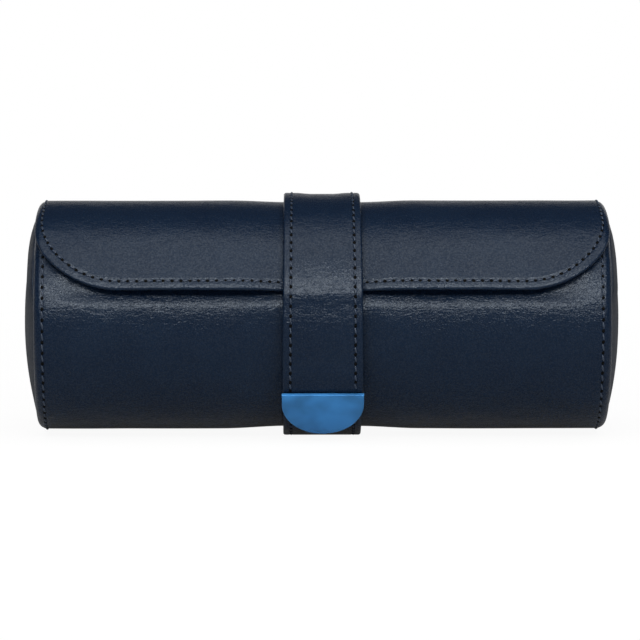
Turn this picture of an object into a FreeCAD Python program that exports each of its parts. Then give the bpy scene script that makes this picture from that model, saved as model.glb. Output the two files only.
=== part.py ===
"""Travel case for three watches: a leather-covered roll with a hinged lid, a closing strap and three watch cushions.

The roll lies along X with its front towards -Y and its top towards +Z. The origin is the centre of the flat
on which the strap under the case rests. Angles are measured round the roll's own axis in degrees, 0 at the
top and growing towards the front, so the front is at 90, the foot at 180 and the back at -90 or 270.
"""

import FreeCAD
import Part
import math
import os

# Case body: board trough covered in leather, lined with suede, lengths in millimetres
case_length = 200.0
shell_radius = 39.0
leather = 1.3
board = 1.95
suede = 0.65
seam = 0.05
gap = 0.3
rim_turn = 3.3
mouth_angle = 52.0
lip_width = 1.15

# Ends: round board, suede facing inside, padded leather dome outside
end_board = 2.5
dome_rise = 4.7
dome_leather = 1.2
dome_step = 0.1

# Lid: leather turned round a thin board, lined with suede
lid_thickness = 2.2
lid_lining = 0.55
lid_board = 0.55
lid_front_angle = 71.2
lid_rear_margin = 1.6
lid_corner = 30.0
lid_edge_turn = 4.0
lid_edge_sweep = 70.0
lid_lining_sweep = 38.0
lid_lining_inset = 1.0
lid_board_inset = 2.6

# Hinge: a leather strip sewn to the back of the shell, which bends along its upper edge
hinge_gap = 0.25
hinge_strip_angle = 29.0
hinge_strip_inset = 3.0
hinge_strip_skive = 0.85

# Closing strap: a tapered band over the lid, a free end below it and a fixed band round the foot
strap_thickness = 2.6
strap_leather = 1.35
strap_root_angle = -48.0
strap_width = 28.0
strap_fold_narrowing = 0.4
strap_root_narrowing = 2.1
strap_overhang = 1.2
strap_flat_angle = 128.7
strap_flat_straight = 0.8
lower_strap_narrowing = 0.8
lower_strap_top_angle = 118.0
foot_depth = 0.5

# Metal tip: a flat tongue of lacquered metal riveted to the strap's end, with a magnet behind it
tip_side = 0.2
tip_thickness = 1.2
tip_above = 6.3
tip_straight = 4.5
tip_margin = 0.6
tip_edge_round = 0.4
rivet_radius = 1.0
rivet_head_radius = 2.0
rivet_head = 0.35
rivet_inset = 4.8
rivet_drop = 5.0
magnet_radius = 4.5
magnet_thickness = 0.85
magnet_drop = 6.0
catch_width = 17.4
catch_length = 8.4
catch_thickness = 0.75

# Inside: two padded partitions and three cushions
divider_thickness = 4.0
divider_cover = 0.8
divider_height = 8.0
divider_edge_round = 0.7
cushion_height = 46.0
cushion_mouth_clearance = 0.93
cushion_side_clearance = 2.2
cushion_cover = 0.9
cushion_end = 1.4
cushion_bevel = 0.7

# Radii that follow from the sizes above
lining_radius = shell_radius - leather - board - suede - 2 * seam
board_radius = lining_radius + suede + seam
leather_radius = shell_radius - leather
end_radius = leather_radius - seam
lid_radius = shell_radius + gap
lid_outer = lid_radius + lid_thickness
strap_radius = lid_outer + seam
strap_outer = strap_radius + strap_thickness
lower_strap_outer = strap_radius - gap
axis_height = lower_strap_outer - foot_depth

# Widths that follow from the strap's width at its free end
strap_root_width = strap_width - strap_root_narrowing
strap_fold_width = strap_width - strap_fold_narrowing
lower_strap_width = strap_width - lower_strap_narrowing
tip_width = strap_width + 2 * tip_side
rivet_spread = strap_width - 2 * rivet_inset

# Places along X
half_length = case_length / 2
turn_x = half_length - rim_turn
turn_radius = shell_radius - rim_turn
end_face_x = half_length - leather
end_board_x = end_face_x - seam - end_board
end_lining_x = end_board_x - seam - suede
trough_x = end_lining_x - seam

# The bend lines of the lid and of the strap, which are also the joints' axes
hinge_angle = -(mouth_angle + math.degrees((lid_rear_margin + hinge_gap) / lid_outer))
fold_angle = lid_front_angle + math.degrees(strap_overhang / lid_outer)

SPIN = FreeCAD.Vector(1, 0, 0)
AXIS = FreeCAD.Vector(0, 0, axis_height)
HALF_TURN = math.pi


def degrees_of(length, radius):
    """The angle that a length covers round the roll at a radius."""
    return math.degrees(length / radius)


def point(x, radius, angle=0.0):
    """A point by its place along the roll, its distance from the axis and its angle round it."""
    turn = math.radians(angle)
    return FreeCAD.Vector(x, -radius * math.sin(turn), axis_height + radius * math.cos(turn))


def turned(shape, angle):
    """The shape after a turn round the roll's axis."""
    shape = shape.copy()
    shape.rotate(AXIS, SPIN, angle)
    return shape


def line(a, b):
    """A straight edge."""
    return Part.makeLine(a, b)


def arc(a, middle, b):
    """An arc through three points."""
    return Part.Arc(a, middle, b).toShape()


def swung(edges, start, end):
    """A profile drawn at the top of the roll, swung round the axis from one angle to another."""
    face = Part.Face(Part.Wire(Part.__sortEdges__(edges)))
    return turned(face, start).revolve(AXIS, SPIN, end - start)


def band(inner, outer, start, end, x_low, x_high):
    """A plain strip of a tube."""
    corners = [point(x_low, inner), point(x_high, inner), point(x_high, outer), point(x_low, outer)]
    edges = [line(corners[i], corners[(i + 1) % 4]) for i in range(4)]
    return swung(edges, start, end)


def wrapped(inner, outer, start, end, half_start, half_end, corner=0.0):
    """A flat pattern wrapped round the roll, with straight or tapered sides and round corners at its end."""
    surface = Part.Cylinder()
    surface.Radius = inner
    start_u = HALF_TURN + math.radians(start)
    end_u = HALF_TURN + math.radians(end)
    corner_u = corner / inner

    def side(a, b):
        return Part.Geom2d.Line2dSegment(FreeCAD.Base.Vector2d(*a), FreeCAD.Base.Vector2d(*b)).toShape(surface)

    def round_corner(centre_u, centre_x, quarter):
        centre = FreeCAD.Base.Vector2d(centre_u, centre_x)
        along = FreeCAD.Base.Vector2d(centre_u, centre_x + corner)
        across = FreeCAD.Base.Vector2d(centre_u + corner_u, centre_x)
        oval = Part.Geom2d.Ellipse2d(along, across, centre)
        quarter_turn = math.pi / 2
        return Part.Geom2d.ArcOfEllipse2d(oval, quarter * quarter_turn, (quarter + 1) * quarter_turn).toShape(surface)

    edges = [
        side((start_u, -half_start), (start_u, half_start)),
        side((start_u, half_start), (end_u - corner_u, half_end)),
        side((end_u, half_end - corner), (end_u, corner - half_end)),
        side((end_u - corner_u, -half_end), (start_u, -half_start)),
    ]
    if corner:
        edges.append(round_corner(end_u - corner_u, half_end - corner, 0))
        edges.append(round_corner(end_u - corner_u, corner - half_end, 1))
    face = Part.Face(surface, Part.Wire(Part.__sortEdges__(edges)))
    solid = face.makeOffsetShape(outer - inner, 1e-4, fill=True)
    lie_down = FreeCAD.Matrix(0, 0, 1, 0, 0, 1, 0, 0, -1, 0, 0, axis_height, 0, 0, 0, 1)
    return solid.transformed(lie_down, copy=True)


def turned_edge(radius, x_centre, r_centre, sweep):
    """Three points on the rounded edge at the +X end: its start, middle and end."""
    angles = [math.radians(sweep * share) for share in (0.0, 0.5, 1.0)]
    return [point(x_centre + radius * math.sin(a), r_centre + radius * math.cos(a)) for a in angles]


def mirrored(points):
    """The same points at the -X end."""
    return [FreeCAD.Vector(-p.x, p.y, p.z) for p in points]


def rounded(points):
    """An arc through three points given together."""
    return arc(*points)


def bevelled(points):
    """A straight edge in place of an arc, for a turned edge that is hidden."""
    return line(points[0], points[2])


def double_edged(outer_points, inner_points, inner_edge):
    """The outline of a skin that turns down at both ends, from the points of its two turned edges."""
    outer_left, inner_left = mirrored(outer_points), mirrored(inner_points)
    return [
        line(outer_left[0], outer_points[0]),
        arc(*outer_points),
        line(outer_points[2], inner_points[2]),
        inner_edge(inner_points),
        line(inner_points[0], inner_left[0]),
        inner_edge(inner_left),
        line(inner_left[2], outer_left[2]),
        arc(*outer_left),
    ]


def shell_leather():
    """Outer leather of the trough, turned over the rims of both ends."""
    outer = turned_edge(rim_turn, turn_x, turn_radius, 90.0)
    inner = turned_edge(rim_turn - leather, turn_x, turn_radius, 90.0)
    return swung(double_edged(outer, inner, bevelled), mouth_angle, 360 - mouth_angle)


def shell_board():
    """Stiff board that gives the trough its shape."""
    return band(board_radius, leather_radius - seam, mouth_angle, 360 - mouth_angle, -trough_x, trough_x)


def shell_lining():
    """Suede lining of the trough."""
    return band(lining_radius, lining_radius + suede, mouth_angle, 360 - mouth_angle, -trough_x, trough_x)


def mouth_edge(side):
    """Leather edge that closes the layers along one side of the mouth: 1 at the front, -1 at the rear."""
    seam_angle = degrees_of(seam, shell_radius)
    lip = band(
        lining_radius,
        shell_radius,
        mouth_angle - degrees_of(lip_width, shell_radius) - seam_angle,
        mouth_angle - seam_angle,
        -trough_x,
        trough_x,
    )
    if side > 0:
        return lip
    return lip.mirror(AXIS, FreeCAD.Vector(0, 1, 0))


def end_rim():
    """Leather over the part of the +X end's rim that the mouth leaves open."""
    outer = turned_edge(rim_turn, turn_x, turn_radius, 90.0)
    inner = turned_edge(rim_turn - leather, turn_x, turn_radius, 90.0)
    low, high = point(end_lining_x, leather_radius), point(end_lining_x, shell_radius)
    edges = [
        line(high, outer[0]),
        arc(*outer),
        line(outer[2], inner[2]),
        bevelled(inner),
        line(inner[0], low),
        line(low, high),
    ]
    reach = mouth_angle - degrees_of(seam, shell_radius)
    return swung(edges, -reach, reach)


def end_disc_board():
    """Round board at the +X end, with its outer edge bevelled under the turned leather."""
    edge = turned_edge(rim_turn - leather - seam, turn_x, turn_radius, 90.0)
    inner_low, inner_high = point(end_board_x, 0), point(end_board_x, end_radius)
    outer_low = point(end_face_x - seam, 0)
    edges = [
        line(inner_low, inner_high),
        line(inner_high, edge[0]),
        bevelled(edge),
        line(edge[2], outer_low),
        line(outer_low, inner_low),
    ]
    return swung(edges, 0, 360)


def end_disc_lining():
    """Suede facing inside the +X end."""
    return Part.makeCylinder(end_radius, suede, point(end_lining_x, 0), SPIN)


def dome_face(x_base, radius, rise):
    """Three points of a shallow dome: its rim, a point between and its crown."""
    ball = (radius**2 + rise**2) / (2 * rise)
    middle = radius / 2
    x_middle = x_base + rise - ball + math.sqrt(ball**2 - middle**2)
    return [point(x_base, radius), point(x_middle, middle), point(x_base + rise, 0)]


def dome_back_x():
    """The plane on which the dome and its padding are glued."""
    return end_face_x + seam


def end_cap():
    """Leather dome at the +X end, glued inside the turned rim."""
    rim_radius = turn_radius - seam
    inner_radius = rim_radius - dome_leather
    outer = dome_face(half_length - dome_step, rim_radius, dome_rise)
    inner = dome_face(dome_back_x() + dome_step, inner_radius, outer[2].x - dome_leather - dome_back_x() - dome_step)
    back_outer, back_inner = point(dome_back_x(), rim_radius), point(dome_back_x(), inner_radius)
    edges = [
        line(back_outer, outer[0]),
        arc(*outer),
        line(outer[2], inner[2]),
        line(inner[2], inner[1]),
        line(inner[1], inner[0]),
        line(inner[0], back_inner),
        line(back_inner, back_outer),
    ]
    return swung(edges, 0, 360)


def end_padding():
    """Foam lens that fills the dome at the +X end."""
    radius = turn_radius - 2 * seam - dome_leather
    rise = half_length - dome_step + dome_rise - dome_leather - seam - dome_back_x()
    face = dome_face(dome_back_x(), radius, rise)
    centre = point(dome_back_x(), 0)
    edges = [line(centre, face[0]), line(face[0], face[1]), line(face[1], face[2]), line(face[2], centre)]
    return swung(edges, 0, 360)


def lid_half_length():
    """Half of the lid's length, to the outermost point of its turned edge."""
    return turn_x - (lid_edge_turn - rim_turn) + lid_edge_turn * math.sin(math.radians(lid_edge_sweep))


def lid_rear_angle():
    """The angle of the lid's rear edge, just in front of its bend line."""
    return hinge_angle + degrees_of(hinge_gap, lid_outer)


def lid_outline(inset):
    """The lid's wrapped outline, thick enough to cut every layer, taken in from the edge."""
    return wrapped(
        turn_radius,
        strap_outer,
        lid_rear_angle(),
        lid_front_angle - degrees_of(inset, lid_outer),
        lid_half_length() + seam - inset,
        lid_half_length() + seam - inset,
        lid_corner + seam - inset,
    )


def lid_turned(radius, sweep):
    """The turned end of a layer of the lid that keeps its distance from the rim of the case."""
    return turned_edge(radius - turn_radius, turn_x, turn_radius, sweep)


def lid_layer(outer_points, inner_points, inset):
    """One turned layer of the lid, cut to the lid's outline."""
    tube = swung(double_edged(outer_points, inner_points, rounded), lid_rear_angle(), lid_front_angle)
    return tube.common(lid_outline(inset))


def lid_board_panel(grow):
    """The lid's board, or the pocket for it when it is grown by the seam."""
    inset = lid_board_inset - grow
    low = lid_radius + lid_lining + seam
    return wrapped(
        low - (grow if grow else -seam),
        low + seam + lid_board + grow,
        lid_rear_angle() + degrees_of(inset, lid_outer),
        lid_front_angle - degrees_of(inset, lid_outer),
        turn_x - inset,
        turn_x - inset,
        lid_corner - lid_board_inset + grow,
    )


def lid_leather():
    """Outer leather of the lid, with a pocket for the board."""
    outer = turned_edge(lid_edge_turn, turn_x - (lid_edge_turn - rim_turn), lid_outer - lid_edge_turn, lid_edge_sweep)
    inner = lid_turned(lid_radius + lid_lining + seam, lid_lining_sweep)
    return lid_layer(outer, inner, 0.0).cut(lid_board_panel(seam))


def lid_lining_panel():
    """Suede lining of the lid."""
    outer = lid_turned(lid_radius + lid_lining, lid_lining_sweep)
    inner = lid_turned(lid_radius, lid_lining_sweep)
    return lid_layer(outer, inner, lid_lining_inset)


def hinge_strip():
    """Strip sewn to the back of the shell, flush with the lid at the bend and skived thin below."""
    top = hinge_angle - degrees_of(hinge_gap, lid_outer)
    foot = top - hinge_strip_angle
    middle = (top + foot) / 2
    inner = shell_radius + seam
    thin = inner + hinge_strip_skive
    x = -(half_length - hinge_strip_inset)
    edges = [
        arc(point(x, inner, top), point(x, inner, middle), point(x, inner, foot)),
        line(point(x, inner, foot), point(x, thin, foot)),
        arc(point(x, thin, foot), point(x, (thin + lid_outer) / 2, middle), point(x, lid_outer, top)),
        line(point(x, lid_outer, top), point(x, inner, top)),
    ]
    face = Part.Face(Part.Wire(Part.__sortEdges__(edges)))
    return face.extrude(FreeCAD.Vector(-2 * x, 0, 0))


def lower_strap():
    """Fixed band round the foot, flattened where the case stands, with a pocket for the catch plate."""
    top = hinge_angle - degrees_of(hinge_gap, lid_outer)
    rear = 360 + top - hinge_strip_angle - degrees_of(gap, shell_radius)
    half = lower_strap_width / 2
    strap = band(shell_radius + seam, lower_strap_outer, lower_strap_top_angle, rear, -half, half)
    reach = case_length
    ground = Part.makeBox(reach, reach, reach, FreeCAD.Vector(-reach / 2, -reach / 2, -reach))
    return strap.cut(ground).cut(catch(seam))


def catch(grow):
    """Steel plate in the fixed band, facing the magnet, or its pocket when it is grown by the seam."""
    inner = shell_radius + seam
    centre = strap_flat_angle + degrees_of(magnet_drop, strap_radius)
    reach = degrees_of(catch_length / 2 + grow, inner)
    half = catch_width / 2 + grow
    low = inner if grow else inner + seam
    return band(low, inner + seam + catch_thickness + grow, centre - reach, centre + reach, -half, half)


def upper_strap_layer(inner, outer):
    """One layer of the strap where it lies on the lid."""
    end = fold_angle - degrees_of(seam, strap_outer)
    return wrapped(inner, outer, strap_root_angle, end, strap_root_width / 2, strap_fold_width / 2)


def tongue(inner, outer, start, shoulder, end, half_width):
    """A flat tongue with a round end, drawn at the top of the roll and turned to the strap's flat."""
    height = axis_height + inner
    start_left, start_right = FreeCAD.Vector(-half_width, -start, height), FreeCAD.Vector(half_width, -start, height)
    left, right = FreeCAD.Vector(-half_width, -shoulder, height), FreeCAD.Vector(half_width, -shoulder, height)
    round_end = arc(right, FreeCAD.Vector(0, -end, height), left)
    edges = [line(left, start_left), line(start_left, start_right), line(start_right, right), round_end]
    face = Part.Face(Part.Wire(Part.__sortEdges__(edges)))
    return turned(face.extrude(FreeCAD.Vector(0, 0, outer - inner)), strap_flat_angle)


def tip_reach():
    """How far the metal tip reaches past the start of the strap's flat."""
    return tip_straight - tip_above + tip_width / 2


def tail_layer(inner, outer):
    """One layer of the strap's free end: curved below the fold, then flat behind the metal tip."""
    start = fold_angle + degrees_of(seam, strap_outer)
    half = strap_width / 2
    curved = wrapped(inner, outer, start, strap_flat_angle, strap_fold_width / 2, half)
    flat = tongue(inner, outer, 0.0, strap_flat_straight, tip_reach() - tip_margin, half)
    return curved.fuse(flat).removeSplitter()


def drop_point(x, radius, drop):
    """A point on the flat behind the metal tip."""
    return FreeCAD.Vector(x, -drop, axis_height + radius)


def post(x, drop, radius, low, high):
    """A round post square to the metal tip, at the top of the roll until it is turned to the flat."""
    cylinder = Part.makeCylinder(radius, high - low, drop_point(x, low, drop), FreeCAD.Vector(0, 0, 1))
    return turned(cylinder, strap_flat_angle)


def rivets(grow):
    """The two rivets that hold the metal tip, or the holes for them when they are grown by the seam."""
    solids = []
    for side in (-1, 1):
        x = side * rivet_spread / 2
        back = strap_radius - grow
        head = post(x, rivet_drop, rivet_head_radius + grow, back, strap_radius + rivet_head + grow)
        shank = post(x, rivet_drop, rivet_radius + grow, back, strap_outer + seam)
        solids.append(head.fuse(shank).removeSplitter())
    return Part.makeCompound(solids)


def magnet(grow):
    """The magnet behind the metal tip, or its pocket when it is grown by the seam."""
    top = strap_radius + strap_thickness - strap_leather - 2 * seam
    return post(0, magnet_drop, magnet_radius + grow, top - magnet_thickness - grow, top + 2 * grow)


def tail_leather():
    """Outer leather of the strap's free end."""
    return tail_layer(strap_outer - strap_leather, strap_outer).cut(rivets(seam))


def tail_backing():
    """Backing leather of the strap's free end, with the pocket for the magnet."""
    layer = tail_layer(strap_radius, strap_outer - strap_leather - seam)
    return layer.cut(rivets(seam)).cut(magnet(seam))


def tip_plate():
    """Flat metal tongue on the strap's end."""
    low = strap_outer + seam
    plate = tongue(low, low + tip_thickness, -tip_above, tip_straight - tip_above, tip_reach(), tip_width / 2)
    outward = turned(Part.Vertex(point(0, low + tip_thickness)), strap_flat_angle).Point - AXIS
    outward.normalize()
    face = max(plate.Faces, key=lambda f: (f.CenterOfMass - AXIS).dot(outward))
    return plate.makeFillet(tip_edge_round, face.Edges)


def divider_form(thickness, top, centre_x):
    """A round board cut level at the top."""
    radius = lining_radius - seam
    disc = Part.makeCylinder(radius, thickness, point(centre_x - thickness / 2, 0), SPIN)
    reach = case_length
    above = Part.makeBox(reach, reach, reach, FreeCAD.Vector(-reach / 2, -reach / 2, axis_height + top))
    return disc.cut(above)


def divider_core_board(centre_x):
    """Board inside a partition."""
    return divider_form(divider_thickness - 2 * (divider_cover + seam), divider_height - divider_cover - seam, centre_x)


def divider_cover_suede(centre_x):
    """Suede over both faces and the top of a partition."""
    whole = divider_form(divider_thickness, divider_height, centre_x)
    top_edges = [e for e in whole.Edges if abs(e.CenterOfMass.z - axis_height - divider_height) < seam]
    long_edges = [e for e in top_edges if e.Length > divider_thickness * 2]
    pocket = divider_form(divider_thickness - 2 * divider_cover, divider_height - divider_cover, centre_x)
    return whole.makeFillet(divider_edge_round, long_edges).cut(pocket)


def mouth_half_width():
    """Half of the clear width between the two leather edges of the mouth."""
    lip_angle = mouth_angle - degrees_of(lip_width + seam, shell_radius)
    return lining_radius * math.sin(math.radians(lip_angle))


def cushion_width():
    """Width of a cushion that still lifts out between the edges of the mouth."""
    return 2 * (mouth_half_width() - cushion_mouth_clearance)


def cushion_oval(inset, x):
    """The oval outline of a cushion, taken in all round."""
    a = cushion_width() / 2 - inset
    b = cushion_height / 2 - inset
    centre = FreeCAD.Vector(x, 0, axis_height - lining_radius + gap + cushion_height / 2)
    if a > b:
        oval = Part.Ellipse(centre + FreeCAD.Vector(0, a, 0), centre + FreeCAD.Vector(0, 0, b), centre)
    else:
        oval = Part.Ellipse(centre + FreeCAD.Vector(0, 0, b), centre + FreeCAD.Vector(0, a, 0), centre)
    return Part.Wire([oval.toShape()])


def cushion_form(inset, length, centre_x):
    """An oval roll across the case, taken in all round."""
    return Part.Face(cushion_oval(inset, centre_x - length / 2)).extrude(FreeCAD.Vector(length, 0, 0))


def compartment_length():
    """Clear length of one of the three compartments."""
    return (2 * end_lining_x - 2 * divider_thickness) / 3


def cushion_length():
    """Length of a cushion over its end panels."""
    return compartment_length() - 2 * cushion_side_clearance


def cushion_sleeve(centre_x):
    """Suede sleeve round a cushion."""
    length = cushion_length() - 2 * (cushion_end + seam)
    return cushion_form(0, length, centre_x).cut(cushion_form(cushion_cover, length, centre_x))


def cushion_filling(centre_x):
    """Foam filling of a cushion."""
    return cushion_form(cushion_cover + seam, cushion_length() - 2 * (cushion_end + seam), centre_x)


def cushion_panels(centre_x):
    """The two suede-covered end panels of a cushion, with their outer edges bevelled."""
    panels = []
    for side in (-1, 1):
        outer_x = centre_x + side * cushion_length() / 2
        inner_x = outer_x - side * cushion_end
        edge_x = outer_x - side * cushion_bevel
        ovals = [cushion_oval(0, inner_x), cushion_oval(0, edge_x), cushion_oval(cushion_bevel, outer_x)]
        panels.append(Part.makeLoft(ovals, True, True))
    return Part.makeCompound(panels)


def at_both_ends(name, solid):
    """The same piece at the right and at the left end."""
    left = solid.mirror(AXIS, SPIN)
    return {name + "_right": solid, name + "_left": left}


def build():
    """Every piece of the case by its name."""
    pieces = {
        "shell_leather": shell_leather(),
        "shell_board": shell_board(),
        "shell_lining": shell_lining(),
        "mouth_edge_front": mouth_edge(1),
        "mouth_edge_rear": mouth_edge(-1),
        "hinge_strip": hinge_strip(),
        "lower_strap": lower_strap(),
        "catch_plate": catch(0.0),
        "lid_leather": lid_leather(),
        "lid_board": lid_board_panel(0.0),
        "lid_lining": lid_lining_panel(),
        "upper_strap_leather": upper_strap_layer(strap_outer - strap_leather, strap_outer),
        "upper_strap_backing": upper_strap_layer(strap_radius, strap_outer - strap_leather - seam),
        "tail_leather": tail_leather(),
        "tail_backing": tail_backing(),
        "tip_plate": tip_plate(),
        "tip_rivets": rivets(0.0),
        "tip_magnet": magnet(0.0),
    }
    pieces.update(at_both_ends("end_rim", end_rim()))
    pieces.update(at_both_ends("end_board", end_disc_board()))
    pieces.update(at_both_ends("end_lining", end_disc_lining()))
    pieces.update(at_both_ends("end_cap", end_cap()))
    pieces.update(at_both_ends("end_padding", end_padding()))
    pitch = compartment_length() + divider_thickness
    for name, place in (("left", -0.5), ("right", 0.5)):
        pieces["divider_core_" + name] = divider_core_board(place * pitch)
        pieces["divider_cover_" + name] = divider_cover_suede(place * pitch)
    for name, place in (("left", -1), ("centre", 0), ("right", 1)):
        pieces["cushion_cover_" + name] = cushion_sleeve(place * pitch)
        pieces["cushion_core_" + name] = cushion_filling(place * pitch)
        pieces["cushion_ends_" + name] = cushion_panels(place * pitch)
    return pieces


os.makedirs("parts", exist_ok=True)
for node, shape in build().items():
    shape.exportStep("parts/" + node + ".step")
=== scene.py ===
"""Looks of a leather travel case for watches.

Each leather piece is cut flat, with its outer side to the front: X runs along the roll, Z is the girth
measured up from the roll's front line, and Y is the depth below the outer face. The flat piece is shaped,
its ends are turned down where the real one turns over the rim, and then it is bent round the roll.
"""

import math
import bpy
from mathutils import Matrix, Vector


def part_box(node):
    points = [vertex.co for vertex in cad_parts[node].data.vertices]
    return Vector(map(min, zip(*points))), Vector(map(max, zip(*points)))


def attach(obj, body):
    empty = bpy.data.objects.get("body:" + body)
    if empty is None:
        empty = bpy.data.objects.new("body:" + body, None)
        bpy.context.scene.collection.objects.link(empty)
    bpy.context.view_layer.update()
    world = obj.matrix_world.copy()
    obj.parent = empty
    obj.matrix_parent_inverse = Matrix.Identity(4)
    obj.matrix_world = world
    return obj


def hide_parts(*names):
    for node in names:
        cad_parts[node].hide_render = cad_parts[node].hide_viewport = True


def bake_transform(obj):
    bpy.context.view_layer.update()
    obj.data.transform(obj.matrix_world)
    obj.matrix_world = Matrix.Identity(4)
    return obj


bl_info = {
    "name": "Watch travel case",
    "version": (1, 0, 0),
    "blender": (4, 5, 0),
    "location": "View3D > Sidebar > Watch case",
    "description": "Leather, thread, lacquer and suede for a roll that holds three watches",
    "category": "Object",
}

import bpy
from bpy.props import FloatProperty, FloatVectorProperty, IntProperty, PointerProperty
from mathutils import Vector

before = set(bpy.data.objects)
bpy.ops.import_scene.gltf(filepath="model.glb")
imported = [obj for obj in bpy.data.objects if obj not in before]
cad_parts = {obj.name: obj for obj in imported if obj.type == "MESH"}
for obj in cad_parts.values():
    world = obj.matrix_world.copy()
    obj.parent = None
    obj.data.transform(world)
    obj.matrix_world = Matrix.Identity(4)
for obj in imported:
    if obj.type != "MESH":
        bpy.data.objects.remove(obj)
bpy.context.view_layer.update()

MM = 0.001
HAIR = 0.001 * MM
QUARTER = math.tau / 4
SIDES = ((1, "right"), (-1, "left"))
end_low, end_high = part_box("end_board_right")
ROLL_HEIGHT = (end_low.z + end_high.z) / 2


def millimetres(name, description, default):
    """A length that the sidebar shows, given in millimetres."""
    return FloatProperty(
        name=name, description=description, default=default * MM, unit="LENGTH", precision=5
    )


def degrees(name, description, default):
    """An angle that the sidebar shows, given in degrees."""
    return FloatProperty(
        name=name, description=description, default=math.radians(default), subtype="ANGLE"
    )


def tint(name, description, default):
    """A colour that the sidebar shows."""
    return FloatVectorProperty(
        name=name, description=description, default=default, subtype="COLOR", min=0, max=1
    )


class RollSizes(bpy.types.PropertyGroup):
    """Sizes of the body of the case"""

    axis_height: FloatProperty(
        name="Axis height",
        description="Height of the roll's axis over the table",
        default=ROLL_HEIGHT,
        unit="LENGTH",
        precision=5,
    )
    shell_radius: millimetres("Shell radius", "Outer radius of the barrel", 39.0)
    shell_leather: millimetres("Barrel leather", "Thickness of the barrel's leather", 1.25)
    turn_x: millimetres("Rim start", "Where the barrel's leather starts to turn over its end", 96.7)
    turn_radius: millimetres("Rim radius", "Radius of the turned edge of the barrel", 3.3)
    mouth: degrees("Mouth", "Half the angle of the barrel's opening", 52.0)
    seam_x: millimetres("End seam", "Distance of the stitches at the barrel's ends from its middle", 96.8)
    dome_radius: millimetres("Dome radius", "Radius of the padded ends", 35.65)
    dome_foot: millimetres("Dome foot", "Where the padded ends leave the rim", 99.85)
    dome_rise: millimetres("Dome rise", "How far the padded ends bulge", 4.7)
    dome_puff: millimetres("Dome puff", "How much fuller the padded ends are at their top", 1.0)
    waist: millimetres("Waist", "How far the strap draws the barrel in under it", 0.9)
    press: millimetres("Press", "How far the lid's edge presses into the barrel", 1.1)


class LidSizes(bpy.types.PropertyGroup):
    """Sizes of the lid and of its hinge"""

    outer: millimetres("Lid radius", "Outer radius of the lid", 41.5)
    leather: millimetres("Lid leather", "Thickness of the lid's leather", 1.25)
    border: millimetres("Border", "Width of the lid's rounded border", 0.85)
    border_drop: millimetres("Border drop", "How far the lid's border rounds down", 0.6)
    waist: millimetres("Waist", "How far the strap draws the lid in under it", 0.6)
    lift: millimetres("Lift", "How far the lid's front edge stands off", 1.9)
    flare: millimetres("Flare", "How far the lid's front corners stand off", 0.6)
    front: degrees("Front edge", "Angle of the lid's front edge", 71.9)
    hinge: degrees("Bend line", "Angle of the line on which the lid bends", -54.55)
    foot: degrees("Hinge foot", "Angle of the hinge leather's lower edge", -83.8)
    turn_x: millimetres("Turn start", "Where the lid starts to turn down over the rim", 96.0)
    turn_radius: millimetres("Turn radius", "Radius of the turned end of the lid", 4.0)
    turn_reach: millimetres("Turn reach", "Leather that turns down past the start of the turn", 4.887)
    corner: millimetres("Corner", "Radius of the lid's front corners", 30.6)
    hinge_half: millimetres("Hinge width", "Half the length of the hinge leather", 97.0)
    lining: millimetres("Lining", "Thickness of the lid's suede", 0.55)
    lining_depth: millimetres("Lining depth", "Depth of the suede below the lid's outer face", 1.65)
    lining_half: millimetres("Lining width", "Half the length of the lid's suede", 98.6)
    lining_turn_x: millimetres("Lining turn", "Where the suede starts to turn down over the rim", 96.7)
    lining_turn_radius: millimetres("Lining turn radius", "Radius of the suede's turned ends", 4.15)


class StrapSizes(bpy.types.PropertyGroup):
    """Sizes of the straps and of the metal tip"""

    outer: millimetres("Strap radius", "Outer radius of the strap", 44.15)
    thickness: millimetres("Strap", "Thickness of the strap", 2.5)
    border: millimetres("Border", "Width of the strap's rounded border", 0.9)
    border_drop: millimetres("Border drop", "How far the strap's border rounds down", 0.7)
    knee: millimetres("Knee", "How far the strap drops behind the lid's edge", 0.7)
    hollow: millimetres("Hollow", "How far the strap sinks between its seams", 0.35)
    root: degrees("Root", "Angle at which the strap starts on the lid", -48.0)
    root_corner: millimetres("Root corner", "Radius of the strap's corners at its root", 4.2)
    fold: degrees("Fold", "Angle at which the strap leaves the lid", 72.857)
    flat: degrees("Flat", "Angle at which the strap becomes straight", 128.7)
    root_width: millimetres("Root width", "Width of the strap at its root", 25.9)
    fold_width: millimetres("Fold width", "Width of the strap at its fold", 27.6)
    tip_width: millimetres("End width", "Width of the strap at its free end", 28.0)
    end: millimetres("End", "How far the leather reaches past the start of the flat", 11.8)
    end_corner: millimetres("End corner", "Radius of the leather's corners under the tip", 13.4)
    plate_width: millimetres("Tip width", "Width of the metal tip", 28.4)
    plate_above: millimetres("Tip above", "How far the metal tip starts above the flat", 6.3)
    plate_below: millimetres("Tip below", "How far the metal tip reaches below", 12.4)
    plate: millimetres("Tip", "Thickness of the metal tip", 1.2)
    foot_outer: millimetres("Foot strap radius", "Outer radius of the strap round the foot", 41.25)
    foot_width: millimetres("Foot strap width", "Width of the strap round the foot", 27.2)
    foot_front: degrees("Foot strap front", "Angle of the foot strap's front end", 118.0)
    foot_rear: degrees("Foot strap rear", "Angle of the foot strap's rear end", 275.75)
    foot_thickness: millimetres("Foot strap", "Thickness of the strap round the foot", 2.15)


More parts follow.
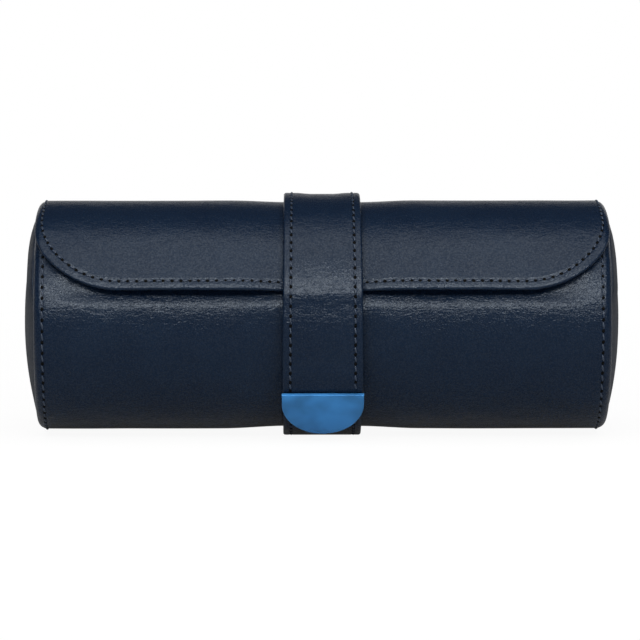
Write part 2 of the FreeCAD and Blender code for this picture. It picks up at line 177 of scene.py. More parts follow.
class StitchSizes(bpy.types.PropertyGroup):
    """Sizes of the stitching"""

    strap_pitch: millimetres("Strap pitch", "Distance from one stitch to the next along the straps", 3.4)
    lid_pitch: millimetres("Lid pitch", "Distance from one stitch to the next round the lid", 3.05)
    end_pitch: millimetres("End pitch", "Distance from one stitch to the next round the barrel's ends", 3.9)
    thread: millimetres("Thread", "Thickness of the thread", 0.8)
    hole: millimetres("Hole", "Width of a stitch's hole", 1.2)
    depth: millimetres("Depth", "How deep the stitches lie in their channel", 0.1)
    lid_front: millimetres("Lid front inset", "Distance of the stitches from the lid's front edge", 3.0)
    lid_side: millimetres("Lid side inset", "Distance of the stitches from the lid's side edges", 3.9)
    strap_inset: millimetres("Strap inset", "Distance of the stitches from the strap's edge", 2.7)
    slant: degrees("Slant", "How far each stitch leans off its row", 12.0)


class InsideSizes(bpy.types.PropertyGroup):
    """Sizes of what the case holds inside"""

    lining_outer: millimetres("Lining radius", "Outer radius of the suede lining", 35.65)
    lining: millimetres("Lining", "Thickness of the suede lining", 0.65)
    trough_x: millimetres("Trough", "Half the inner length", 95.4)
    mouth_edge: millimetres("Mouth edge", "Height of the leather along the mouth", 4.0)
    partition_radius: millimetres("Partition radius", "Radius of the partitions", 34.95)
    partition_top: millimetres("Partition top", "Height of the partitions over the axis", 8.0)
    partition_round: millimetres("Partition rounding", "Rounding of the partitions' upper edge", 1.5)
    cushion_slack: millimetres("Cushion slack", "How much smaller a cushion starts than its room", 1.2)
    cushion_cap: millimetres("Cushion swell", "How far a cushion's cover may swell", 1.4)
    cushion_dome: millimetres("Cushion ends", "How far a cushion's end panels bulge", 1.1)
    cushion_steps: IntProperty(
        name="Cushion steps", description="Steps of the cloth that fills the cushions", default=16
    )


class CaseColours(bpy.types.PropertyGroup):
    """Colours of the case"""

    leather: tint("Leather", "Navy leather", (0.0028, 0.0089, 0.0222))
    leather_deep: tint("Leather, dark", "Navy leather in its darker clouds", (0.0019, 0.0068, 0.0184))
    end_leather: tint("End leather", "Leather of the padded ends", (0.006, 0.0095, 0.018))
    edge: tint("Edge paint", "Paint on the cut edges", (0.002, 0.006, 0.016))
    thread: tint("Thread", "Waxed sewing thread", (0.02, 0.031, 0.053))
    suede: tint("Suede", "Suede inside", (0.035, 0.05, 0.085))
    lacquer: tint("Lacquer", "Lacquer of the metal tip", (0.038, 0.2, 0.48))
    floor: tint("Floor", "Studio floor", (0.85, 0.85, 0.85))


def sizes(group):
    """One group of the scene's sizes."""
    return getattr(bpy.context.scene, "watch_case_" + group)


# Modelling


def deselect():
    """Deselect every object."""
    bpy.ops.object.select_all(action="DESELECT")


def take(piece):
    """Make a piece the only selected and the active one."""
    deselect()
    piece.select_set(True)
    bpy.context.view_layer.objects.active = piece


def apply_all(piece):
    """Apply every modifier of a piece."""
    take(piece)
    for modifier in list(piece.modifiers):
        bpy.ops.object.modifier_apply(modifier=modifier.name)


def settle(piece):
    """Put a piece's place, turn and size into its mesh."""
    take(piece)
    bpy.ops.object.transform_apply(location=True, rotation=True, scale=True)


def named(name):
    """The piece that an operator has just added, with its name."""
    piece = bpy.context.object
    piece.name = name
    piece.data.name = name
    return piece


def copy_of(piece):
    """A copy of a piece with its own mesh."""
    copy = piece.copy()
    copy.data = piece.data.copy()
    bpy.context.scene.collection.objects.link(copy)
    return copy


def marker(place, turn=0.0):
    """An empty that a modifier works from, turned about Y."""
    deselect()
    bpy.ops.object.empty_add(location=place, rotation=(0, turn, 0))
    bpy.context.view_layer.update()
    return bpy.context.object


def every(item):
    """The test that picks every corner or face."""
    return True


def pick(piece, test=every, kind="VERT"):
    """Select a piece's corners or faces by their place, and go to edit mode."""
    if bpy.context.mode != "OBJECT":
        bpy.ops.object.mode_set(mode="OBJECT")
    take(piece)
    mesh = piece.data
    for group in (mesh.vertices, mesh.edges, mesh.polygons):
        group.foreach_set("select", [False] * len(group))
    chosen = mesh.vertices if kind == "VERT" else mesh.polygons
    chosen.foreach_set("select", [bool(test(item)) for item in chosen])
    bpy.context.tool_settings.mesh_select_mode = (kind == "VERT", False, kind == "FACE")
    bpy.ops.object.mode_set(mode="EDIT")
    bpy.ops.mesh.select_mode(type=kind)


def leave():
    """Go back to object mode."""
    bpy.ops.object.mode_set(mode="OBJECT")


def move(piece, test, offset):
    """Move a piece's chosen corners."""
    pick(piece, test)
    bpy.ops.transform.translate(value=offset)
    leave()


def tug(piece, test, offset, reach):
    """Move a piece's chosen corners, and less and less of what lies round them."""
    pick(piece, test)
    bpy.ops.transform.translate(
        value=offset,
        use_proportional_edit=True,
        proportional_edit_falloff="SMOOTH",
        proportional_size=reach,
    )
    leave()


def cut(piece, lines_x=(), lines_z=()):
    """Cut a flat piece along lines, so that it bends evenly."""
    pick(piece)
    for places, normal in ((lines_x, (1, 0, 0)), (lines_z, (0, 0, 1))):
        for place in places:
            bpy.ops.mesh.select_all(action="SELECT")
            bpy.ops.mesh.bisect(plane_co=[place * n for n in normal], plane_no=normal)
    leave()


def spread(low, high, step):
    """Evenly spaced places between two ends, without the ends."""
    count = max(1, round((high - low) / step))
    return [low + (high - low) * i / count for i in range(1, count)]


def mirrored(places):
    """Places on both sides of the middle."""
    return [side * place for side in (1, -1) for place in places]


def girth(angle, radius):
    """The place of an angle round the roll on a flat piece."""
    return radius * (QUARTER - angle)


def sheet(name, half_width, low, high, depth=0.0, fields=None):
    """A flat rectangle with its outer side to the front, of one field or of columns and rows of them."""
    deselect()
    setting = {"size": 1, "location": (0, depth, (low + high) / 2), "rotation": (QUARTER, 0, 0)}
    if fields:
        bpy.ops.mesh.primitive_grid_add(x_subdivisions=fields[0], y_subdivisions=fields[1], **setting)
    else:
        bpy.ops.mesh.primitive_plane_add(**setting)
    piece = named(name)
    piece.scale = (2 * half_width, high - low, 1)
    settle(piece)
    return piece


def disc(name, radius, x, corners, way=1):
    """A flat disc across the roll, on its axis, that faces along X."""
    deselect()
    bpy.ops.mesh.primitive_circle_add(
        vertices=corners,
        radius=radius,
        fill_type="NGON",
        location=(x, 0, sizes("roll").axis_height),
        rotation=(0, way * QUARTER, 0),
    )
    piece = named(name)
    settle(piece)
    return piece


def draw_out(piece, way, length, half_width):
    """Draw out a flat outline's upper edge, way 1, or its lower one, way -1, to a new width."""
    edge = max(way * v.co.z for v in piece.data.vertices)

    def on_edge(v):
        return way * v.co.z > edge - HAIR

    now = max(v.co.x for v in piece.data.vertices if on_edge(v))
    pick(piece, on_edge)
    if length > HAIR:
        bpy.ops.mesh.extrude_edges_move(TRANSFORM_OT_translate={"value": (0, 0, way * length)})
    bpy.ops.transform.resize(value=(half_width / now, 1, 1), center_override=(0, 0, 0))
    leave()


def one_face(piece):
    """Join the faces of a flat outline."""
    pick(piece, kind="FACE")
    bpy.ops.mesh.dissolve_faces()
    leave()


def round_corners(piece, test, radius, segments):
    """Round the chosen corners of a flat outline."""
    pick(piece, test)
    bpy.ops.mesh.bevel(
        offset=radius, offset_type="OFFSET", segments=segments, profile=0.5, affect="VERTICES"
    )
    leave()


def face_outwards(piece):
    """Turn the faces of a closed piece outwards."""
    pick(piece, kind="FACE")
    bpy.ops.mesh.normals_make_consistent(inside=False)
    leave()


def thicken(piece, thickness):
    """Give a flat sheet its thickness, downwards from its outer face."""
    skin = piece.modifiers.new("Thickness", "SOLIDIFY")
    skin.thickness = thickness
    skin.offset = -1
    apply_all(piece)


def shape_faces(piece, outer_steps, inner_steps, wall):
    """Give a flat outline its wall, and its faces the borders that steps of inset and rise make."""
    pick(piece, kind="FACE")
    bpy.ops.mesh.extrude_region_move(TRANSFORM_OT_translate={"value": (0, -wall, 0)})
    leave()
    face_outwards(piece)
    for direction, steps in ((-1, outer_steps), (1, inner_steps)):
        pick(piece, lambda f, d=direction: f.normal.y * d > 0.9, "FACE")
        for inset, rise in steps:
            bpy.ops.mesh.inset(thickness=inset, depth=rise, use_even_offset=True)
        leave()


def turn_ends(piece, start, radius):
    """Turn the parts of a flat piece that lie past a place on X down round a radius, at both ends."""
    for side, _ in SIDES:
        reach = [side * v.co.x - start for v in piece.data.vertices]
        if max(reach) < HAIR:
            continue
        pivot = marker((side * start, 0, 0), 0 if side > 0 else math.pi)
        turn = piece.modifiers.new("Turn", "SIMPLE_DEFORM")
        turn.deform_method = "BEND"
        turn.deform_axis = "Z"
        turn.origin = pivot
        turn.limits = (max(0.0, -min(reach) / (max(reach) - min(reach))), 1.0)
        turn.angle = (max(reach) - max(0.0, min(reach))) / radius
        apply_all(piece)
        bpy.data.objects.remove(pivot)


def bend_round(piece, radius, straight_below=-math.inf):
    """Bend a flat piece round the roll, apart from what lies below a girth, and put it in its place."""
    heights = [v.co.z for v in piece.data.vertices]
    low, high = min(heights), max(heights)
    start = max(low, straight_below)
    if high > start:
        bend = piece.modifiers.new("Bend", "SIMPLE_DEFORM")
        bend.deform_method = "BEND"
        bend.deform_axis = "X"
        bend.limits = ((start - low) / (high - low), 1.0)
        bend.angle = (high - start) / radius
        apply_all(piece)
    piece.location = (0, -radius, sizes("roll").axis_height)
    settle(piece)


def smooth(piece, angle=62):
    """Shade a piece smooth, apart from its sharp edges."""
    take(piece)
    bpy.ops.object.shade_smooth_by_angle(angle=math.radians(angle))


def ripple(piece, size, height, seed):
    """Give a piece the slight unevenness of hand-worked leather."""
    clouds = bpy.data.textures.new(piece.name + "_unevenness", "CLOUDS")
    clouds.noise_scale = size
    clouds.noise_depth = 1
    place = marker((seed * 0.37, seed * 0.11, seed * 0.23))
    sway = piece.modifiers.new("Unevenness", "DISPLACE")
    sway.texture = clouds
    sway.texture_coords = "OBJECT"
    sway.texture_coords_object = place
    sway.strength = height
    sway.mid_level = 0.5
    apply_all(piece)
    bpy.data.objects.remove(place)


def paint(piece, *materials):
    """Give a piece its materials."""
    piece.data.materials.clear()
    for material in materials:
        piece.data.materials.append(material)


def paint_strap(piece):
    """Give a strap its leather, and paint its cut edges."""
    paint(piece, case_leather(), edge_material())
    for face in piece.data.polygons:
        if abs(face.normal.y) < 0.35:
            face.material_index = 1


def hand_over(piece, body, slot, *nodes):
    """Let a piece ride on a body of the case and stand for its solids."""
    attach(piece, body)
    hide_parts(*nodes)


# Stitching


def walk(corners, pitch):
    """Places at an even pitch along a line of points, each with its heading, and that pitch."""
    lengths = [(b - a).length for a, b in zip(corners, corners[1:])]
    total = sum(lengths)
    count = max(1, round(total / pitch))
    places = []
    for i in range(count):
        along = total * (i + 0.5) / count
        for a, b, length in zip(corners, corners[1:], lengths):
            if along <= length or (a, b) == (corners[-2], corners[-1]):
                way = (b - a).normalized()
                places.append((a + way * along, math.atan2(way.y, way.x)))
                break
            along -= length
    return places, total / count


def bead(name, rings, scale, material, turn=0.0):
    """A small ball, stretched."""
    deselect()
    bpy.ops.mesh.primitive_uv_sphere_add(segments=8, ring_count=rings, radius=0.5, rotation=(0, turn, 0))
    piece = named(name)
    piece.scale = scale
    settle(piece)
    paint(piece, material)
    return piece


def stitch_models(pitch):
    """A stitch, and for its hole a flat bead of painted shade, each lying along X."""
    stitch = sizes("stitch")
    thread_shape = (stitch.thread * 0.86, stitch.thread, pitch * 0.66)
    hole_shade_shape = (stitch.hole * 1.1, stitch.hole * 0.4, stitch.hole)
    thread = bead("thread", 6, thread_shape, thread_material(), QUARTER)
    # The hole's bead is near-black in its colour: painted shade where the real hole lies in shade.
    return thread, bead("hole", 4, hole_shade_shape, hole_shade_material())


def sew(piece, rows, wanted, depth=None, skip=None):
    """Sew rows of stitches into a flat piece, each stitch with a bead of painted shade at its hole, at about
    a wanted pitch.

    Depth and skip tell of a spot how deep its stitch lies, and whether it has none.
    """
    stitch = sizes("stitch")
    thread, hole = stitch_models(wanted)
    thread_rise, hole_shade_sink = 0.08 * MM, 0.1 * MM
    made = []
    for corners in rows:
        places, pitch = walk(corners, wanted)
        for place, heading in places:
            half = Vector((math.cos(heading), math.sin(heading))) * pitch / 2
            # Each stitch's thread, and half a pitch on, the bead of painted shade at its hole.
            for model, spot, lean, sink in (
                (thread, place, stitch.slant, 0.0),
                (hole, place + half, 0.0, hole_shade_sink),
            ):
                if skip and skip(spot):
                    continue
                bed = depth(spot) if depth else stitch.depth
                copy = copy_of(model)
                copy.location = (spot.x, bed + sink - thread_rise, spot.y)
                copy.rotation_euler = (0, -heading - lean, 0)
                made.append(copy)
    for model in (thread, hole):
        bpy.data.objects.remove(model)
    take(piece)
    for copy in made:
        copy.select_set(True)
    bpy.ops.object.join()


# Materials


class Nodes:
    """Short ways to add and join the nodes of a material or of the world"""

    def __init__(self, tree):
        self.tree = tree
        tree.nodes.clear()

    def add(self, kind, **values):
        """A node with the values of its sockets."""
        node = self.tree.nodes.new(kind)
        for socket, value in values.items():
            node.inputs[socket.replace("_", " ")].default_value = value
        return node

    def join(self, source, output, target, socket):
        """A link from one node to another."""
        self.tree.links.new(source.outputs[output], target.inputs[socket])

    def place(self, scale=(1, 1, 1)):
        """The place on the piece, stretched."""
        place = self.add("ShaderNodeTexCoord")
        stretch = self.add("ShaderNodeMapping", Scale=scale)
        self.join(place, "Object", stretch, "Vector")
        return stretch

    def noise(self, place, scale, detail=2.0, rough=0.5, distortion=0.0):
        """Cloudy noise."""
        values = {"Scale": scale, "Detail": detail, "Roughness": rough, "Distortion": distortion}
        noise = self.add("ShaderNodeTexNoise", **values)
        self.join(place, "Vector", noise, "Vector")
        return noise

    def ramp(self, source, output, low, high, dark, light):
        """A ramp between two colours or greys."""
        ramp = self.add("ShaderNodeValToRGB")
        for stop, position, colour in zip(ramp.color_ramp.elements, (low, high), (dark, light)):
            stop.position = position
            stop.color = colour
        self.join(source, output, ramp, "Fac")
        return ramp

    def bump(self, source, output, strength, distance, below=None):
        """Relief from a grey pattern, on top of another relief."""
        bump = self.add("ShaderNodeBump", Strength=strength, Distance=distance)
        self.join(source, output, bump, "Height")
        if below:
            self.join(below, "Normal", bump, "Normal")
        return bump

    def ray_shares(self, **shares):
        """A given share for each kind of ray, and nothing for the other kinds."""
        path = self.add("ShaderNodeLightPath")
        total = None
        for kind, share in shares.items():
            part = self.add("ShaderNodeMath")
            part.operation = "MULTIPLY_ADD"
            part.inputs[1].default_value = share
            part.inputs[2].default_value = 0.0
            self.join(path, "Is " + kind + " Ray", part, 0)
            if total:
                self.join(total, "Value", part, 2)
            total = part
        return total

    def background_rays(self, mirrored=1.0):
        """Rays that see the white background: straight ones, and a share of mirrored or bent ones."""
        return self.ray_shares(Camera=1.0, Glossy=mirrored, Transmission=mirrored)

    def mix(self, share, below, above):
        """One shader over another, by the share that a node gives."""
        mix = self.add("ShaderNodeMixShader")
        self.join(share, "Value", mix, "Fac")
        self.join(below, 0, mix, 1)
        self.join(above, 0, mix, 2)
        return mix


class Finish(Nodes):
    """A material, made once and then used again"""

    def __init__(self, name):
        self.material = bpy.data.materials.get(name) or bpy.data.materials.new(name)
        self.fresh = not self.material.get("made")
        if self.fresh:
            self.material["made"] = True
            self.material.use_nodes = True
            super().__init__(self.material.node_tree)
            self.output = self.add("ShaderNodeOutputMaterial")
            self.shader = self.add("ShaderNodeBsdfPrincipled")
            self.join(self.shader, "BSDF", self.output, "Surface")

    def shade(self, pattern, colour, dark, light, low=0.3, high=0.7):
        """Colour the surface between two shares of a colour."""
        shades = (rgba([part * share for part in colour]) for share in (dark, light))
        self.drive("Base Color", self.ramp(pattern, "Fac", low, high, *shades), "Color")

    def drive(self, socket, source, output):
        """Let a node set one of the shader's sockets."""
        self.join(source, output, self.shader, socket)

    def finished(self, **values):
        """The material, with the shader's even values set."""
        for socket, value in values.items():
            self.shader.inputs[socket.replace("_", " ")].default_value = value
        return self.material


def grey(value):
    """A grey as a colour."""
    return (value, value, value, 1)


def rgba(colour):
    """A colour without transparency."""
    return (*colour, 1)


def leather_material(name, colour, deep, grain=1.0, rough=0.24):
    """Smooth navy leather with a fine grain, soft clouds and fine creases."""
    leather = Finish(name)
    if not leather.fresh:
        return leather.material
    place = leather.place()
    clouds = leather.noise(place, scale=55, detail=3, rough=0.55)
    leather.drive("Base Color", leather.ramp(clouds, "Fac", 0.3, 0.72, rgba(deep), rgba(colour)), "Color")
    cells = leather.add("ShaderNodeTexVoronoi", Scale=1800, Randomness=1.0)
    cells.feature = "SMOOTH_F1"
    leather.join(place, "Vector", cells, "Vector")
    fine = leather.noise(place, scale=2600, detail=3, rough=0.6)
    swell = leather.noise(place, scale=170, detail=2, rough=0.5)
    along = leather.place((0.32, 1, 1))
    creases = leather.noise(along, scale=780, detail=4, rough=0.6, distortion=0.5)
    crease_lines = leather.ramp(creases, "Fac", 0.42, 0.56, grey(0.0), grey(1.0))
    relief = leather.bump(swell, "Fac", 0.3, 0.9 * MM)
    relief = leather.bump(crease_lines, "Color", 0.18 * grain, 0.2 * MM, relief)
    relief = leather.bump(cells, "Distance", 0.32 * grain, 0.26 * MM, relief)
    relief = leather.bump(fine, "Fac", 0.2 * grain, 0.14 * MM, relief)
    leather.drive("Normal", relief, "Normal")
    wear = leather.ramp(fine, "Fac", 0.3, 0.75, grey(rough), grey(rough + 0.1))
    leather.drive("Roughness", wear, "Color")
    shine = leather.ramp(cells, "Distance", 0.12, 0.58, grey(0.4), grey(0.19))
    leather.drive("Specular IOR Level", shine, "Color")
    return leather.finished(Specular_IOR_Level=0.28, Specular_Tint=(0.83, 0.92, 1.0, 1))


def case_leather():
    """Leather of the barrel, lid and straps."""
    colours = sizes("colours")
    return leather_material("navy_leather", colours.leather, colours.leather_deep)


def end_leather():
    """Leather of the padded ends."""
    colours = sizes("colours")
    return leather_material("navy_end_leather", colours.end_leather, colours.leather_deep, 0.8, 0.5)


def patterned(name, colour, shades, pattern, relief=None, clouds=None, stretch=(1, 1, 1), **values):
    """A material with a fine pattern.

    Shades are the shares of the colour between which it runs, with its own clouds if some are given. Pattern
    and clouds are the scale, detail and roughness of their noise, relief is the bump's strength and distance.
    """
    surface = Finish(name)
    if not surface.fresh:
        return surface.material
    place = surface.place(stretch)
    fine = surface.noise(place, *pattern)
    surface.shade(surface.noise(place, *clouds) if clouds else fine, colour, *shades)
    if relief:
        surface.drive("Normal", surface.bump(fine, "Fac", *relief), "Normal")
    return surface.finished(**values)


def edge_material():
    """Painted cut edge of the leather."""
    return patterned(
        "painted_edge",
        sizes("colours").edge,
        shades=(0.8, 1.5),
        pattern=(900, 3, 0.6),
        relief=(0.3, 0.2 * MM),
        stretch=(0.3, 1, 1),
        Roughness=0.42,
        Specular_IOR_Level=0.2,
    )


def thread_material():
    """Waxed thread with its twist."""
    return patterned(
        "waxed_thread",
        sizes("colours").thread,
        shades=(0.65, 1.35),
        pattern=(5200, 2, 0.6),
        relief=(0.5, 0.2 * MM),
        Roughness=0.38,
        Specular_IOR_Level=0.5,
    )


def hole_shade_material():
    """Painted shade of a stitch's hole: a near-black colour that stands in for the shade inside it."""
    return patterned(
        "stitch_hole_painted_shade",
        # Near-black grey: painted shade, not the colour of anything in the hole.
        (0.0012, 0.0012, 0.0012),
        shades=(0.5, 1.5),
        pattern=(3000, 2, 0.5),
        Roughness=0.9,
        Specular_IOR_Level=0.1,
    )


def suede_material():
    """Napped suede of the lining and cushions, brushed in patches."""
    return patterned(
        "navy_suede",
        sizes("colours").suede,
        shades=(0.78, 1.18),
        pattern=(3200, 3, 0.7),
        relief=(0.55, 0.3 * MM),
        clouds=(60, 4, 0.6),
        Roughness=0.92,
        Specular_IOR_Level=0.25,
        Sheen_Weight=0.35,
        Sheen_Roughness=0.45,
    )


def metal_material(name, colour, roughness):
    """Bare metal with fine brush marks."""
    return patterned(
        name,
        colour,
        shades=(0.9, 1.05),
        pattern=(4000, 2, 0.6),
        relief=(0.15, 0.1 * MM),
        stretch=(0.15, 1, 1),
        Metallic=1.0,
        Roughness=roughness,
    )


def fibre_material(name, colour, scale):
    """Fibrous filling: pressed board or foam."""
    return patterned(
        name,
        colour,
        shades=(0.8, 1.15),
        pattern=(scale, 4, 0.7),
        relief=(0.4, 0.3 * MM),
        Roughness=0.9,
    )


def lacquer_material():
    """Blue lacquer over polished metal, with a cloudy haze in its colour that is partly painted reflections,
    and smears.
    """
    lacquer = Finish("blue_lacquer")
    if not lacquer.fresh:
        return lacquer.material
    place = lacquer.place()
    # Clouds in the colour: partly the lacquer's own uneven haze, partly painted reflections of polished
    # metal; the same noise varies the roughness as smears.
    haze_and_painted_reflections = lacquer.noise(place, scale=95, detail=2, rough=0.5)
    lacquer.shade(haze_and_painted_reflections, sizes("colours").lacquer, 0.72, 1.14, low=0.36, high=0.62)
    waves = lacquer.noise(place, scale=120, detail=2, rough=0.5)
    lacquer.drive("Normal", lacquer.bump(waves, "Fac", 0.12, 0.8 * MM), "Normal")
    lacquer.drive("Roughness", lacquer.ramp(haze_and_painted_reflections, "Fac", 0.3, 0.8, grey(0.16), grey(0.26)), "Color")
    return lacquer.finished(
        Metallic=0.4, Specular_IOR_Level=0.3, Coat_Weight=0.15, Coat_Roughness=0.08
    )


# Pieces


def rounding(width, height, steps=6):
    """The insets and rises that round a border as a quarter of an oval."""
    turns = [QUARTER * i / steps for i in range(steps + 1)]
    return [
        (width * (math.cos(a) - math.cos(b)), height * (math.sin(b) - math.sin(a)))
        for a, b in zip(turns, turns[1:])
    ]


def hidden_edge():
    """The small rounding of an edge on a piece's inner side."""
    return rounding(0.25 * MM, 0.2 * MM, 2)


def seam_steps(inset, done):
    """The steps of the shallow channel that a row of stitches presses into the leather."""
    slope, floor = 0.45 * MM, 0.4 * MM
    shallow, deep = 0.08 * MM, 0.16 * MM
    lead = inset - done - (slope + floor)
    return [(lead, 0), (slope, -shallow), (floor, -deep), (floor, deep), (slope, shallow)]


def build_barrel():
    """Leather of the barrel: a sheet, creased by its end seams, turned over the rims and bent round."""
    roll = sizes("roll")
    seam = roll.seam_x
    half = roll.turn_x + roll.turn_radius * QUARTER
    low, high = girth(math.tau - roll.mouth, roll.shell_radius), girth(roll.mouth, roll.shell_radius)
    piece = sheet("barrel_leather", half, low, high, fields=(66, 150))
    channel = [seam + step * MM for step in (-1.3, -0.85, -0.4, 0.0, 0.4, 0.85)]
    turned = spread(roll.turn_x + 2.2 * MM, half, 0.45 * MM)
    cut(piece, mirrored(channel + turned))
    for reach, drop in ((0.6 * MM, 0.1 * MM), (0.2 * MM, 0.12 * MM)):
        move(piece, lambda v, r=reach: abs(abs(v.co.x) - seam) < r, (0, drop, 0))
    ripple(piece, 0.035, 0.35 * MM, 1)
    thicken(piece, roll.shell_leather)
    paint(piece, case_leather())
    seams = [[Vector((side * seam, low)), Vector((side * seam, high))] for side in (1, -1)]
    bed = 0.12 * MM
    sew(piece, seams, sizes("stitch").end_pitch, lambda spot: bed)
    rear, front, lid_edge = (girth(math.radians(turn), roll.shell_radius) for turn in (262, 104, 70))
    under_strap, under_lid, line = 13.4 * MM, 88 * MM, 1.5 * MM
    tug(
        piece,
        lambda v: abs(v.co.x) < under_strap and rear < v.co.z < front,
        (0, roll.waist, 0),
        22 * MM,
    )
    tug(
        piece,
        lambda v: abs(v.co.x) < under_lid and abs(v.co.z - lid_edge) < line,
        (0, roll.press, 0),
        6 * MM,
    )
    turn_ends(piece, roll.turn_x, roll.turn_radius)
    bend_round(piece, roll.shell_radius)
    smooth(piece)
    hand_over(piece, "case", "leather_navy", "shell_leather")


def build_rims():
    """Leather over the parts of the rims that the barrel's mouth leaves open."""
    roll = sizes("roll")
    slit, gap = 0.002, 0.1 * MM
    reach = roll.mouth - slit
    low, high = girth(reach, roll.shell_radius), girth(-reach, roll.shell_radius)
    start = sizes("inside").trough_x + gap
    half = (roll.turn_x + roll.turn_radius * QUARTER - start) / 2
    for side, name in SIDES:
        piece = sheet("rim_leather_" + name, half, low, high, fields=(14, 60))
        piece.location.x = side * (start + half)
        settle(piece)
        thicken(piece, roll.shell_leather)
        turn_ends(piece, roll.turn_x, roll.turn_radius)
        bend_round(piece, roll.shell_radius)
        smooth(piece)
        paint(piece, case_leather())
        hand_over(piece, "case", "leather_navy", "end_rim_" + name)


def raise_dome(radius, rise):
    """Raise the picked disc ring by ring to a part of a ball, with a rounded edge."""
    ball = (radius**2 + rise**2) / (2 * rise)
    edge, softness, count = 0.35 * MM, 0.7 * MM, 15
    near_edge = [radius - step * MM for step in (0.15, 0.4, 0.8, 1.4, 2.2)]
    rings = near_edge + [radius * (1 - i / count) for i in range(2, count)]
    ring, height = radius, 0.0
    for inner in rings:
        shoulder = edge * (1 - math.exp(-(radius - inner) / softness))
        on_ball = math.sqrt(ball**2 - inner**2) - (ball - rise)
        wanted = on_ball - edge * inner / radius + shoulder * inner / radius
        bpy.ops.mesh.inset(thickness=ring - inner, depth=wanted - height, use_even_offset=True)
        ring, height = inner, wanted


def build_domes():
    """Padded leather ends: a disc raised ring by ring to a shallow cushion."""
    roll = sizes("roll")
    wall = 1.1 * MM
    inner, outer, lowest = 27 * MM, 33 * MM, 14 * MM

    def upper(v):
        y, z = v.co.y, v.co.z - roll.axis_height
        return inner < math.hypot(y, z) < outer and z > lowest

    for side, name in SIDES:
        piece = disc("end_dome_" + name, roll.dome_radius, side * (roll.dome_foot - wall), 144, side)
        pick(piece, kind="FACE")
        bpy.ops.mesh.extrude_region_move(TRANSFORM_OT_translate={"value": (side * wall, 0, 0)})
        raise_dome(roll.dome_radius, roll.dome_rise)
        leave()
        face_outwards(piece)
        tug(piece, upper, (side * roll.dome_puff, 0, 0), 11 * MM)
        ripple(piece, 0.022, 0.25 * MM, 5 + side)
        smooth(piece, 50)
        paint(piece, end_leather())
        hand_over(piece, "case", "leather_end", "end_cap_" + name)


def lid_lines(lid):
    """The girths of the lid's front edge, of its bend line and of its hinge leather's foot."""
    return [girth(angle, lid.outer) for angle in (lid.front, lid.hinge, lid.foot)]


def lid_outline(lid, depth):
    """The lid's flat outline with its round front corners and the hinge leather behind it."""
    front, bend, foot = lid_lines(lid)
    before, shoulder, past = 3.2 * MM, 2.4 * MM, 0.8 * MM
    piece = sheet("lid_leather_sewn", lid.turn_x + lid.turn_reach, front, bend - before, depth)
    for length in (shoulder, foot - bend + past):
        draw_out(piece, 1, length, lid.hinge_half)
    one_face(piece)
    round_corners(piece, lambda v: v.co.z < front + HAIR, lid.corner, 28)
    return piece


def skive(lid, height):
    """How far the hinge leather has thinned and drawn in at a height of the flat pattern."""
    _, bend, foot = lid_lines(lid)
    most, curve = 1.6 * MM, 0.8
    return most * max(0.0, (height - bend) / (foot - bend)) ** curve


def in_row(height, above, below):
    """A test for the points of a flat pattern's row that lie between two depths."""
    return lambda v: abs(v.co.z - height) < 2 * HAIR and above < v.co.y < below


def thin_hinge(piece, lid, inner_face):
    """Thin the hinge leather towards its foot and set it down on the barrel."""
    bend = girth(lid.hinge, lid.outer)
    start, middle, thick, slope = bend + 0.4 * MM, 0.6 * lid.leather, 2.45 * MM, 1.2
    for height in sorted({round(v.co.z, 6) for v in piece.data.vertices if v.co.z > start}):
        outer_side = in_row(height, -math.inf, middle)
        move(piece, outer_side, (0, skive(lid, height), 0))
        inner_side = in_row(height, inner_face - HAIR, lid.leather + 10 * HAIR)
        move(piece, inner_side, (0, min(thick - lid.leather, (height - bend) * slope), 0))


def lid_rows(lid, front_inset, side_inset):
    """The rows of stitches round the lid and round the hinge leather's hem."""
    front, bend, foot = lid_lines(lid)
    border_end, hem_start, count = bend - 6 * MM, bend + 4 * MM, 24
    x, z = lid.turn_x + lid.turn_reach - lid.corner, front + lid.corner
    wide, high = lid.corner - side_inset, lid.corner - front_inset
    turns = [QUARTER * i / count for i in range(count + 1)]
    right = [Vector((x + wide * math.cos(turn), z - high * math.sin(turn))) for turn in turns]
    border = [Vector((x + wide, border_end))] + right
    border += [Vector((-spot.x, spot.y)) for spot in reversed(border)]
    hem, strip = foot - side_inset, lid.hinge_half - side_inset
    corners = ((-strip, hem_start), (-strip, hem), (strip, hem), (strip, hem_start))
    return [border, [Vector(corner) for corner in corners]]


def cut_lid(piece, lid):
    """Cut the lid's flat leather where it turns and bends, closest at its ends and its hinge."""
    front, bend, foot = lid_lines(lid)
    near = 3 * MM
    rows = spread(front, bend - near, 1.5 * MM)
    rows += spread(bend - near, bend + near, 0.5 * MM)
    rows += spread(bend + near, foot, 1.2 * MM)
    ends = [lid.turn_x] + spread(lid.turn_x, lid.turn_x + lid.turn_reach, 0.5 * MM)
    cut(piece, spread(-lid.turn_x, lid.turn_x, 4 * MM) + mirrored(ends), rows)


